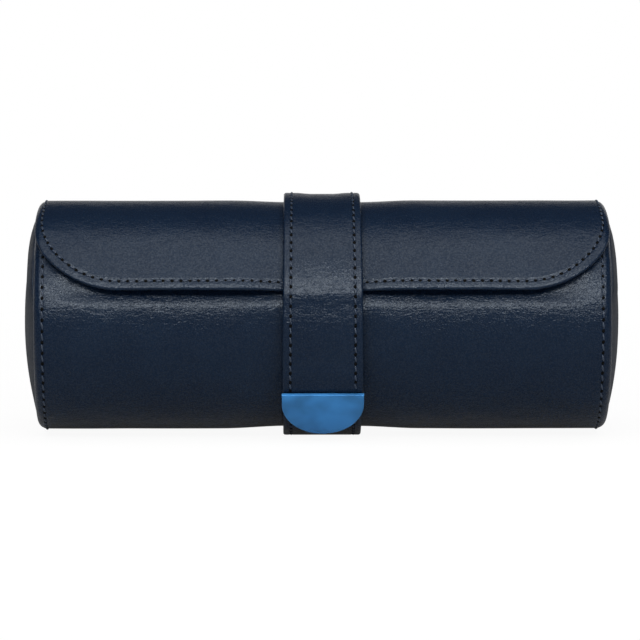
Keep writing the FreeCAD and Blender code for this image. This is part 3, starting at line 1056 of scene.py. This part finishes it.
def build_lid():
    """Outer leather of the lid and its hinge: cut, bordered, sewn, turned down and bent round."""
    lid, stitch = sizes("lid"), sizes("stitch")
    front, _, _ = lid_lines(lid)
    inner_face = lid.leather - 0.2 * MM
    piece = lid_outline(lid, inner_face)
    outer = rounding(lid.border, lid.border_drop, 7)
    outer += seam_steps((stitch.lid_front + stitch.lid_side) / 2, lid.border)
    shape_faces(piece, outer, hidden_edge(), inner_face - lid.border_drop)
    cut_lid(piece, lid)
    thin_hinge(piece, lid, inner_face)
    ripple(piece, 0.03, 0.28 * MM, 2)
    paint(piece, case_leather())
    rows = lid_rows(lid, stitch.lid_front, stitch.lid_side)
    sew(piece, rows, stitch.lid_pitch, lambda spot: stitch.depth + skive(lid, spot.y))
    near, far = (girth(math.radians(turn), lid.outer) for turn in (62, -40))
    under_strap = 13.6 * MM
    tug(
        piece,
        lambda v: abs(v.co.x) < under_strap and near < v.co.z < far,
        (0, lid.waist, 0),
        20 * MM,
    )
    lift_front(piece, lid, front)
    turn_ends(piece, lid.turn_x, lid.turn_radius)
    bend_round(piece, lid.outer)
    flare_corners(piece, lid)
    smooth(piece)
    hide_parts("lid_leather", "hinge_strip")
    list(bend_line(lid.hinge, lid.outer, 2.2 * MM))
    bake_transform(piece)


def flare_corners(piece, lid):
    """Let the lid's front corners stand off the rims."""
    low, high = (sizes("roll").axis_height + height * MM for height in (17, 33))
    end, forwards = 93 * MM, -0.3 * MM
    for side in (1, -1):
        tug(
            piece,
            lambda v, way=side: way * v.co.x > end and v.co.y < 0 and low < v.co.z < high,
            (side * lid.flare, forwards, 0),
            20 * MM,
        )


def bend_line(angle, radius, reach):
    """Two points before and after a bend line, on the side of the smaller angle first."""
    height = sizes("roll").axis_height
    middle = Vector((0, -radius * math.sin(angle), height + radius * math.cos(angle)))
    along = Vector((0, -math.cos(angle), -math.sin(angle)))
    return middle - along * reach, middle + along * reach


def front_rim(lid, front, end):
    """A test for the points of the lid's front rim from the strap to a distance, its round corners too."""
    middle_x, middle_z = lid.turn_x + lid.turn_reach - lid.corner, front + lid.corner
    round_rim, straight_rim, strap_side = lid.corner - 1.6 * MM, front + 1.5 * MM, 22 * MM

    def chosen(v):
        x, z = abs(v.co.x), v.co.z
        rounded = x > middle_x and z < middle_z and math.hypot(x - middle_x, z - middle_z) > round_rim
        return strap_side < x < end and (rounded or z < straight_rim)

    return chosen


def lift_front(piece, lid, front):
    """Let the lid's front rim stand off the barrel on both sides of the strap."""
    for end, share, reach in ((60, 0.3, 11), (74, 0.25, 11), (90, 0.45, 13)):
        tug(piece, front_rim(lid, front, end * MM), (0, -lid.lift * share, 0), reach * MM)


def build_lid_lining():
    """Suede inside the lid, over its board."""
    lid = sizes("lid")
    radius = lid.outer - lid.lining_depth
    low, high = girth(lid.front, radius) + 0.35 * MM, girth(lid.hinge, radius) - 2 * MM
    piece = sheet("lid_suede", lid.lining_half, low, high, lid.lining)
    round_corners(piece, lambda v: v.co.z < low + HAIR, lid.corner - 1.5 * MM, 28)
    edge_drop = 0.1 * MM
    edge = rounding(0.12 * MM, edge_drop, 2)
    shape_faces(piece, edge, edge, lid.lining - 2 * edge_drop)
    piece.location.y = -edge_drop
    settle(piece)
    ends = [lid.lining_turn_x + step * MM for step in (0, 0.6, 1.2)]
    columns = spread(-lid.lining_turn_x, lid.lining_turn_x, 6 * MM) + mirrored(ends)
    cut(piece, columns, spread(low, high, 1.5 * MM))
    lift_front(piece, lid, low)
    turn_ends(piece, lid.lining_turn_x, lid.lining_turn_radius)
    bend_round(piece, radius)
    smooth(piece)
    paint(piece, suede_material())
    hand_over(piece, "lid", "suede", "lid_lining", "lid_board")


def shape_strap(piece, strap, thickness):
    """Give a strap its wall, its rounded borders and the channel of its stitches."""
    outer = rounding(strap.border, strap.border_drop)
    outer += seam_steps(sizes("stitch").strap_inset, strap.border)
    shape_faces(piece, outer, hidden_edge(), thickness - 0.2 * MM - strap.border_drop)


def strap_row(strap, inset):
    """The row of stitches that runs down one edge of the strap, over its root and down the other."""
    places = (
        (girth(strap.flat, strap.outer) + strap.plate_above + 0.6 * MM, strap.tip_width),
        (girth(strap.fold, strap.outer), strap.fold_width),
        (girth(strap.root, strap.outer) - inset, strap.root_width),
    )
    side = [Vector((width / 2 - inset, height)) for height, width in places]
    return side + [Vector((-spot.x, spot.y)) for spot in reversed(side)]


def strap_outline(strap, top, fold, flat):
    """The strap's flat outline: slightly wider from its root to its fold and its free end."""
    piece = sheet("strap_leather", strap.root_width / 2, fold, top, strap.thickness - 0.2 * MM)
    shoulder = flat + 3 * MM
    draw_out(piece, -1, 0, strap.fold_width / 2)
    draw_out(piece, -1, fold - shoulder, strap.tip_width / 2)
    draw_out(piece, -1, shoulder - (flat - strap.end), strap.tip_width / 2)
    one_face(piece)
    round_corners(piece, lambda v: v.co.z < flat - strap.end + HAIR, strap.end_corner, 20)
    round_corners(piece, lambda v: v.co.z > top - HAIR, strap.root_corner, 10)
    return piece


def build_strap():
    """The strap over the lid and its free end: one tapered band of two leathers, sewn along its edges."""
    strap, stitch = sizes("strap"), sizes("stitch")
    top, fold, flat = (girth(turn, strap.outer) for turn in (strap.root, strap.fold, strap.flat))
    piece = strap_outline(strap, top, fold, flat)
    shape_strap(piece, strap, strap.thickness)
    rows = spread(flat - strap.end, top, 1.2 * MM) + spread(fold - 3 * MM, fold + 3 * MM, 0.5 * MM)
    cut(piece, spread(-10 * MM, 10 * MM, 2 * MM), rows)
    paint_strap(piece)
    ripple(piece, 0.02, 0.22 * MM, 3)
    sew(piece, [strap_row(strap, stitch.strap_inset)], stitch.strap_pitch)
    middle, above_tip = 6 * MM, flat + 12 * MM
    tug(
        piece,
        lambda v: abs(v.co.x) < middle and v.co.z > above_tip,
        (0, strap.hollow, 0),
        5 * MM,
    )
    slope = 6.6 * MM
    tug(
        piece,
        lambda v: flat + 18 * MM < v.co.z < fold - slope,
        (0, strap.knee, 0),
        slope,
    )
    bend_round(piece, strap.outer, flat)
    smooth(piece)
    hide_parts("upper_strap_leather", "upper_strap_backing", "tail_leather", "tail_backing")
    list(bend_line(strap.fold, strap.outer, 2.5 * MM))
    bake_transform(piece)


def build_tip():
    """The metal tip: a flat tongue with a half-round end and softly rounded edges."""
    strap = sizes("strap")
    inner_face = -(strap.outer + 0.15 * MM)
    half = strap.plate_width / 2
    piece = sheet("tip_lacquered", half, -strap.plate_below, strap.plate_above, inner_face)
    round_corners(piece, lambda v: v.co.z < 0, half - 0.02 * MM, 40)
    outer_drop, inner_drop = 0.2 * MM, 0.1 * MM
    outer, inner = rounding(0.15 * MM, outer_drop, 3), rounding(0.1 * MM, inner_drop, 1)
    shape_faces(piece, outer, inner, strap.plate - outer_drop - inner_drop)
    pick(piece)
    bpy.ops.mesh.remove_doubles(threshold=5 * HAIR)
    leave()
    piece.rotation_euler.x = strap.flat - QUARTER
    piece.location.z = sizes("roll").axis_height
    settle(piece)
    smooth(piece, 35)
    paint(piece, lacquer_material())
    hand_over(piece, "strap_end", "tip_lacquer", "tip_plate")


def build_foot_strap():
    """The fixed strap round the foot, flattened where the case stands."""
    strap, stitch = sizes("strap"), sizes("stitch")
    turns = (strap.foot_rear, math.pi, strap.foot_front)
    low, bottom, high = (girth(turn, strap.foot_outer) for turn in turns)
    inner_face = strap.foot_thickness - 0.2 * MM
    piece = sheet("foot_strap", strap.foot_width / 2, low, high, inner_face)
    shape_strap(piece, strap, strap.foot_thickness)
    cut(piece, spread(-10 * MM, 10 * MM, 2.5 * MM), spread(low, high, 1.2 * MM))
    paint_strap(piece)
    x = strap.foot_width / 2 - stitch.strap_inset
    margin, table_contact = 2.5 * MM, 9 * MM
    rows = [[Vector((side * x, low + margin)), Vector((side * x, high - margin))] for side in (1, -1)]
    sew(piece, rows, stitch.strap_pitch, skip=lambda spot: abs(spot.y - bottom) < table_contact)
    bend_round(piece, strap.foot_outer)
    pick(piece)
    bpy.ops.mesh.bisect(plane_co=(0, 0, 10 * HAIR), plane_no=(0, 0, 1), clear_inner=True, use_fill=True)
    leave()
    smooth(piece)
    hand_over(piece, "case", "leather_navy", "lower_strap")


def build_trough():
    """Suede in the trough and the leather edges along its mouth."""
    roll, inside = sizes("roll"), sizes("inside")
    turns = (math.tau - roll.mouth, roll.mouth)
    low, high = (girth(turn, inside.lining_outer) for turn in turns)
    piece = sheet("trough_suede", inside.trough_x, low, high, fields=(40, 110))
    thicken(piece, inside.lining)
    bend_round(piece, inside.lining_outer)
    smooth(piece)
    paint(piece, suede_material())
    hand_over(piece, "case", "suede", "shell_lining")
    inner, outer = math.radians(50.28), math.radians(51.93)
    drop = 0.34 * MM
    steps = rounding(0.31 * MM, drop, 4)
    for name, near, far in (("front", inner, outer), ("rear", -outer, -inner)):
        low, high = girth(far, roll.shell_radius), girth(near, roll.shell_radius)
        piece = sheet("mouth_binding_" + name, inside.trough_x, low, high, inside.mouth_edge)
        shape_faces(piece, steps, steps, inside.mouth_edge - 2 * drop)
        piece.location.y = -drop
        settle(piece)
        cut(piece, spread(-inside.trough_x, inside.trough_x, 8 * MM))
        bend_round(piece, roll.shell_radius)
        smooth(piece)
        paint(piece, case_leather())
        hand_over(piece, "case", "leather_navy", "mouth_edge_" + name)


def build_partitions():
    """Padded suede partitions between the compartments."""
    inside = sizes("inside")
    top = sizes("roll").axis_height + inside.partition_top
    for name in ("left", "right"):
        low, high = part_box("divider_cover_" + name)
        piece = disc("partition_" + name, inside.partition_radius, low.x, 128)
        pick(piece)
        bpy.ops.mesh.bisect(plane_co=(0, 0, top), plane_no=(0, 0, 1), clear_outer=True)
        leave()
        pick(piece, kind="FACE")
        bpy.ops.mesh.extrude_region_move(TRANSFORM_OT_translate={"value": (high.x - low.x, 0, 0)})
        leave()
        face_outwards(piece)
        pick(piece, lambda f: f.normal.z > 0.99, "FACE")
        bpy.ops.mesh.select_mode(type="EDGE")
        bpy.ops.mesh.bevel(offset=inside.partition_round, segments=6, profile=0.5, affect="EDGES")
        leave()
        smooth(piece, 50)
        paint(piece, suede_material())
        hand_over(piece, "case", "suede", "divider_cover_" + name)


class CushionRoom:
    """The room that the case leaves for the middle cushion, and measures inside it"""

    def __init__(self, slack):
        low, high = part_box("cushion_cover_centre")
        self.start, end = (corner.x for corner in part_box("cushion_ends_centre"))
        self.centre = Vector((0, (low.y + high.y) / 2, (low.z + high.z) / 2))
        self.half = (end - self.start) / 2
        self.wide, self.high = (high.y - low.y) / 2, (high.z - low.z) / 2
        self.slack = slack
        self.seam = self.half - slack

    def out(self, co, slack=0.0):
        """How far out a point lies on the room's oval, 1 on its line."""
        y, z = co.y - self.centre.y, co.z - self.centre.z
        return math.hypot(y / (self.wide - slack), z / (self.high - slack))

    def on_panel(self, co, side):
        """Whether a point lies on the end panel of a side."""
        return co.x * side > self.seam - 0.1 * MM

    def keep_in(self, piece):
        """Keep a cushion in its room."""
        for vertex in piece.data.vertices:
            share = max(1.0, self.out(vertex.co))
            vertex.co.y = self.centre.y + (vertex.co.y - self.centre.y) / share
            vertex.co.z = self.centre.z + (vertex.co.z - self.centre.z) / share
            vertex.co.x = max(-self.half, min(self.half, vertex.co.x))


def cushion_sleeve(room):
    """An oval sleeve with flat end panels, cut into rings."""
    deselect()
    bpy.ops.mesh.primitive_cylinder_add(
        vertices=96, radius=1, depth=1, end_fill_type="NGON", location=room.centre, rotation=(0, QUARTER, 0)
    )
    piece = named("cushion_centre")
    piece.scale = (room.high - room.slack, room.wide - room.slack, 2 * room.seam)
    settle(piece)
    pick(piece, lambda f: abs(f.normal.x) > 0.9, "FACE")
    for step in (0.6, 1.2, 2.0, 3.0, 3.2, 3.2, 3.0, 2.6):
        bpy.ops.mesh.inset(thickness=step * MM, depth=0, use_even_offset=True, use_individual=True)
    leave()
    cut(piece, spread(-room.seam, room.seam, 2.4 * MM) + mirrored([room.seam - 0.7 * MM]))
    return piece


def gather_ends(piece, room, bulge):
    """Draw the sleeve in towards its end seams and let its end panels bulge."""
    narrow, seam_line, middle = 0.92, 0.995, 0.35
    for side in (1, -1):
        pick(
            piece,
            lambda v, way=side: room.on_panel(v.co, way) and room.out(v.co, room.slack) > seam_line,
        )
        bpy.ops.transform.resize(
            value=(1, narrow, narrow),
            center_override=room.centre,
            use_proportional_edit=True,
            proportional_edit_falloff="SHARP",
            proportional_size=26 * MM,
        )
        leave()
        tug(
            piece,
            lambda v, way=side: room.on_panel(v.co, way) and room.out(v.co) < middle,
            (side * bulge, 0, 0),
            19 * MM,
        )


def swell(piece, cap, steps, held):
    """Fill a cushion's cover with cloth under pressure, with its seams held, and keep it near its pattern."""
    before = [v.co.copy() for v in piece.data.vertices]
    pins = piece.vertex_groups.new(name="seams")
    pins.add([v.index for v in piece.data.vertices if held(v.co)], 1.0, "REPLACE")
    cloth = piece.modifiers.new("Filling", "CLOTH")
    cloth.settings.vertex_group_mass = "seams"
    cloth.settings.use_pressure = True
    cloth.settings.uniform_pressure_force = 4.0
    cloth.settings.effector_weights.gravity = 0
    cloth.settings.tension_stiffness = 30
    cloth.settings.bending_stiffness = 2
    cloth.settings.quality = 6
    cloth.point_cache.frame_start = 1
    cloth.point_cache.frame_end = steps
    scene = bpy.context.scene
    for step in range(1, steps + 1):
        scene.frame_set(step)
        bpy.context.view_layer.update()
    apply_all(piece)
    scene.frame_set(1)
    for vertex, old in zip(piece.data.vertices, before):
        shift = vertex.co - old
        if shift.length > cap:
            vertex.co = old + shift * (cap / shift.length)
    piece.vertex_groups.clear()


def draw_seams(piece, room):
    """Draw the cover in along its end seams."""
    start, depth, panel_rim = 0.97, 0.5 * MM, 0.905
    for vertex in piece.data.vertices:
        share = abs(vertex.co.x) / room.seam
        if share > start and room.out(vertex.co, room.slack) > panel_rim:
            draw = depth * max(0.0, 1 - ((1 - share) / (1 - start)) ** 2)
            way = Vector((0, vertex.co.y - room.centre.y, vertex.co.z - room.centre.z))
            vertex.co -= way.normalized() * draw


def build_cushions():
    """Three oval cushions: a suede sleeve with a sewn-in panel at each end, swollen by its filling."""
    inside = sizes("inside")
    room = CushionRoom(inside.cushion_slack)
    piece = cushion_sleeve(room)
    gather_ends(piece, room, inside.cushion_dome)

    def held(co):
        return room.on_panel(co, math.copysign(1, co.x)) and room.out(co, room.slack) > 0.91

    swell(piece, inside.cushion_cap, inside.cushion_steps, held)
    ripple(piece, 0.024, 0.3 * MM, 6)
    draw_seams(piece, room)
    room.keep_in(piece)
    smoother = piece.modifiers.new("Subdivision", "SUBSURF")
    smoother.levels = smoother.render_levels = 1
    apply_all(piece)
    room.keep_in(piece)
    smooth(piece, 70)
    paint(piece, suede_material())
    cushions = {"centre": piece}
    for name in ("left", "right"):
        copy = copy_of(piece)
        copy.name = copy.data.name = "cushion_" + name
        copy.location.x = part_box("cushion_ends_" + name)[0].x - room.start
        settle(copy)
        cushions[name] = copy
    for name, cushion in cushions.items():
        nodes = ["cushion_" + part + name for part in ("cover_", "ends_", "core_")]
        hand_over(cushion, "cushion_" + name, "suede", *nodes)


def paint_solids():
    """Materials of the solids that show as they are, or lie inside."""
    board = fibre_material("grey_board", (0.2, 0.17, 0.13), 900)
    steel = metal_material("plated_steel", (0.5, 0.51, 0.53), 0.3)
    finishes = {
        "board": board,
        "core": board,
        "padding": fibre_material("foam", (0.55, 0.55, 0.5), 1500),
        "lining": suede_material(),
        "magnet": steel,
        "plate": steel,
        "rivets": metal_material("brass", (0.55, 0.4, 0.17), 0.28),
    }
    for name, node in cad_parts.items():
        if not node.hide_render:
            paint(node, next(finishes[part] for part in name.split("_") if part in finishes))


# Stage


LAMPS = {
    "strip": {"place": (0, -1.2, 0.755), "size": (1.7, 0.3), "power": 19},
    "front": {"place": (0, -0.84, 1.16), "size": (2.2, 0.65), "power": 7.6},
    "overhead": {"place": (0, -0.24, 1.42), "size": (2.0, 0.7), "power": 9.5},
    "side_left": {"place": (-1.4, -0.1, 0.3), "size": (0.8, 0.6), "power": 0.5},
    "side_right": {"place": (1.4, -0.1, 0.3), "size": (0.8, 0.6), "power": 0.5},
}


def facing(place, target):
    """The turn of a lamp or camera at a place that looks at a target."""
    return (Vector(target) - Vector(place)).to_track_quat("-Z", "Y").to_euler()


def soft_light(name, target, place, size, power):
    """A large soft lamp that looks at a point."""
    deselect()
    bpy.ops.object.light_add(type="AREA", location=place)
    lamp = bpy.context.object
    lamp.name = name
    lamp.data.shape = "RECTANGLE"
    lamp.data.size, lamp.data.size_y = size
    lamp.data.energy = power
    lamp.rotation_euler = facing(place, target)


def floor_material():
    """White floor: lit and shadowed where it is seen, darker for the light that it throws back."""
    white = Finish("studio_white")
    shown = white.background_rays(mirrored=0.08)
    tone = white.add("ShaderNodeMix")
    tone.data_type = "RGBA"
    tone.inputs["A"].default_value = grey(0.3)
    tone.inputs["B"].default_value = rgba(sizes("colours").floor)
    white.join(white.ray_shares(Camera=1.0, Diffuse=0.6), "Value", tone, "Factor")
    white.drive("Base Color", tone, "Result")
    nearness = white.add("ShaderNodeTexGradient")
    nearness.gradient_type = "SPHERICAL"
    white.join(white.place((1.6, 1.6, 1.6)), "Vector", nearness, "Vector")
    fade = white.ramp(nearness, "Fac", 0.2, 0.75, grey(1.0), grey(0.93))
    share = white.add("ShaderNodeMath")
    share.operation = "MULTIPLY"
    white.join(shown, "Value", share, 0)
    white.join(fade, "Color", share, 1)
    glow = white.add("ShaderNodeEmission", Strength=1.0)
    white.join(white.mix(share, white.shader, glow), "Shader", white.output, "Surface")
    return white.finished(Roughness=0.9, Specular_IOR_Level=0.0)


def build_floor():
    """The studio's floor, just under the case."""
    deselect()
    bpy.ops.mesh.primitive_grid_add(x_subdivisions=8, y_subdivisions=8, size=12, location=(0, 0, -0.2 * MM))
    floor = named("studio_floor")
    settle(floor)
    paint(floor, floor_material())


def build_world():
    """White as it is seen, a sweep from dark to white as it is mirrored, and dim as it lights."""
    world = bpy.data.worlds.new("studio")
    bpy.context.scene.world = world
    world.use_nodes = True
    studio = Nodes(world.node_tree)
    lit = studio.add("ShaderNodeBackground", Color=grey(1.0), Strength=0.3)
    mirrored_world = studio.add("ShaderNodeBackground")
    seen = studio.add("ShaderNodeBackground", Color=grey(1.0))
    place = studio.add("ShaderNodeTexCoord")
    low_behind = studio.add("ShaderNodeVectorMath")
    low_behind.operation = "DOT_PRODUCT"
    low_behind.inputs[1].default_value = (0, 1, -1.8)
    studio.join(place, "Generated", low_behind, 0)
    sweep = studio.ramp(low_behind, "Value", 0.2, 0.9, grey(0.05), grey(1.0))
    studio.join(sweep, "Color", mirrored_world, "Color")
    behind = studio.mix(studio.background_rays(), lit, mirrored_world)
    above = studio.mix(studio.ray_shares(Camera=1.0), behind, seen)
    studio.join(above, "Shader", studio.add("ShaderNodeOutputWorld"), "Surface")


def build_camera(middle):
    """The camera of the photograph, slightly above the axis and slightly to the left."""
    camera_data = bpy.data.cameras.new("photograph")
    camera = bpy.data.objects.new("photograph", camera_data)
    bpy.context.scene.collection.objects.link(camera)
    aim = middle + Vector((-0.6 * MM, 0, -0.71 * MM))
    distance, tilt, turn = 1.6, math.radians(5.0), math.radians(-0.6)
    ahead = Vector((math.sin(turn), -math.cos(turn), 0)) * math.cos(tilt)
    camera.location = aim + distance * (ahead + Vector((0, 0, math.sin(tilt))))
    camera.rotation_euler = facing(camera.location, aim)
    camera_data.lens = 254.8
    camera_data.sensor_width = 36
    camera_data.clip_end = 30
    bpy.context.scene.camera = camera


def build_stage():
    """White studio: floor, world, lamps and the camera of the photograph."""
    bpy.context.scene.view_settings.view_transform = "Standard"
    middle = Vector((0, 0, sizes("roll").axis_height))
    build_floor()
    build_world()
    for name, lamp in LAMPS.items():
        soft_light(name, middle, **lamp)
    build_camera(middle)


# Operators and panel


class WATCHCASE_OT_barrel(bpy.types.Operator):
    """Make the barrel's leather and its end seams"""

    bl_idname = "watch_case.barrel"
    bl_label = "Barrel"
    bl_options = {"REGISTER", "UNDO"}

    def execute(self, context):
        build_barrel()
        return {"FINISHED"}


class WATCHCASE_OT_rims(bpy.types.Operator):
    """Make the leather over the open part of the rims"""

    bl_idname = "watch_case.rims"
    bl_label = "Rims"
    bl_options = {"REGISTER", "UNDO"}

    def execute(self, context):
        build_rims()
        return {"FINISHED"}


class WATCHCASE_OT_domes(bpy.types.Operator):
    """Make the padded ends"""

    bl_idname = "watch_case.domes"
    bl_label = "Padded ends"
    bl_options = {"REGISTER", "UNDO"}

    def execute(self, context):
        build_domes()
        return {"FINISHED"}


class WATCHCASE_OT_lid(bpy.types.Operator):
    """Make the lid's leather, its hinge and its stitches"""

    bl_idname = "watch_case.lid"
    bl_label = "Lid"
    bl_options = {"REGISTER", "UNDO"}

    def execute(self, context):
        build_lid()
        return {"FINISHED"}


class WATCHCASE_OT_lid_lining(bpy.types.Operator):
    """Make the suede inside the lid"""

    bl_idname = "watch_case.lid_lining"
    bl_label = "Lid lining"
    bl_options = {"REGISTER", "UNDO"}

    def execute(self, context):
        build_lid_lining()
        return {"FINISHED"}


class WATCHCASE_OT_strap(bpy.types.Operator):
    """Make the closing strap and its stitches"""

    bl_idname = "watch_case.strap"
    bl_label = "Strap"
    bl_options = {"REGISTER", "UNDO"}

    def execute(self, context):
        build_strap()
        return {"FINISHED"}


class WATCHCASE_OT_tip(bpy.types.Operator):
    """Make the lacquered metal tip"""

    bl_idname = "watch_case.tip"
    bl_label = "Metal tip"
    bl_options = {"REGISTER", "UNDO"}

    def execute(self, context):
        build_tip()
        return {"FINISHED"}


class WATCHCASE_OT_foot_strap(bpy.types.Operator):
    """Make the strap round the foot"""

    bl_idname = "watch_case.foot_strap"
    bl_label = "Foot strap"
    bl_options = {"REGISTER", "UNDO"}

    def execute(self, context):
        build_foot_strap()
        return {"FINISHED"}


class WATCHCASE_OT_trough(bpy.types.Operator):
    """Make the suede trough and the edges of its mouth"""

    bl_idname = "watch_case.trough"
    bl_label = "Trough"
    bl_options = {"REGISTER", "UNDO"}

    def execute(self, context):
        build_trough()
        return {"FINISHED"}


class WATCHCASE_OT_partitions(bpy.types.Operator):
    """Make the padded partitions"""

    bl_idname = "watch_case.partitions"
    bl_label = "Partitions"
    bl_options = {"REGISTER", "UNDO"}

    def execute(self, context):
        build_partitions()
        return {"FINISHED"}


class WATCHCASE_OT_cushions(bpy.types.Operator):
    """Make the three cushions"""

    bl_idname = "watch_case.cushions"
    bl_label = "Cushions"
    bl_options = {"REGISTER", "UNDO"}

    def execute(self, context):
        build_cushions()
        return {"FINISHED"}


class WATCHCASE_OT_solids(bpy.types.Operator):
    """Give the solids that stay their materials"""

    bl_idname = "watch_case.solids"
    bl_label = "Inner solids"
    bl_options = {"REGISTER", "UNDO"}

    def execute(self, context):
        paint_solids()
        return {"FINISHED"}


class WATCHCASE_OT_stage(bpy.types.Operator):
    """Make the studio and the camera"""

    bl_idname = "watch_case.stage"
    bl_label = "Stage"
    bl_options = {"REGISTER", "UNDO"}

    def execute(self, context):
        build_stage()
        return {"FINISHED"}


OPERATORS = (
    WATCHCASE_OT_barrel,
    WATCHCASE_OT_rims,
    WATCHCASE_OT_domes,
    WATCHCASE_OT_lid,
    WATCHCASE_OT_lid_lining,
    WATCHCASE_OT_strap,
    WATCHCASE_OT_tip,
    WATCHCASE_OT_foot_strap,
    WATCHCASE_OT_trough,
    WATCHCASE_OT_partitions,
    WATCHCASE_OT_cushions,
    WATCHCASE_OT_solids,
    WATCHCASE_OT_stage,
)

GROUPS = {
    "roll": RollSizes,
    "lid": LidSizes,
    "strap": StrapSizes,
    "stitch": StitchSizes,
    "inside": InsideSizes,
    "colours": CaseColours,
}


class WATCHCASE_PT_sidebar(bpy.types.Panel):
    """Pieces and sizes of the watch case"""

    bl_idname = "WATCHCASE_PT_sidebar"
    bl_label = "Watch case"
    bl_space_type = "VIEW_3D"
    bl_region_type = "UI"
    bl_category = "Watch case"

    def draw(self, context):
        """List the pieces and their sizes."""
        for operator in OPERATORS:
            self.layout.operator(operator.bl_idname)
        for name in GROUPS:
            box = self.layout.box()
            box.label(text=name.capitalize())
            group = getattr(context.scene, "watch_case_" + name)
            for key in group.bl_rna.properties.keys():
                if key not in ("rna_type", "name"):
                    box.prop(group, key)


def register():
    """Register the sizes, operators and panel."""
    for name, group in GROUPS.items():
        bpy.utils.register_class(group)
        setattr(bpy.types.Scene, "watch_case_" + name, PointerProperty(type=group))
    for operator in OPERATORS:
        bpy.utils.register_class(operator)
    bpy.utils.register_class(WATCHCASE_PT_sidebar)


def unregister():
    """Remove the panel, operators and sizes."""
    bpy.utils.unregister_class(WATCHCASE_PT_sidebar)
    for operator in reversed(OPERATORS):
        bpy.utils.unregister_class(operator)
    for name, group in GROUPS.items():
        delattr(bpy.types.Scene, "watch_case_" + name)
        bpy.utils.unregister_class(group)


def corners(bounds):
    """A box as plain lists of numbers."""
    return [[float(v) for v in corner] for corner in bounds]


def main():
    """Make every piece of the case in order."""
    register()
    for operator in OPERATORS:
        group, name = operator.bl_idname.split(".")
        getattr(getattr(bpy.ops, group), name)()


if __name__ == "__main__":
    main()
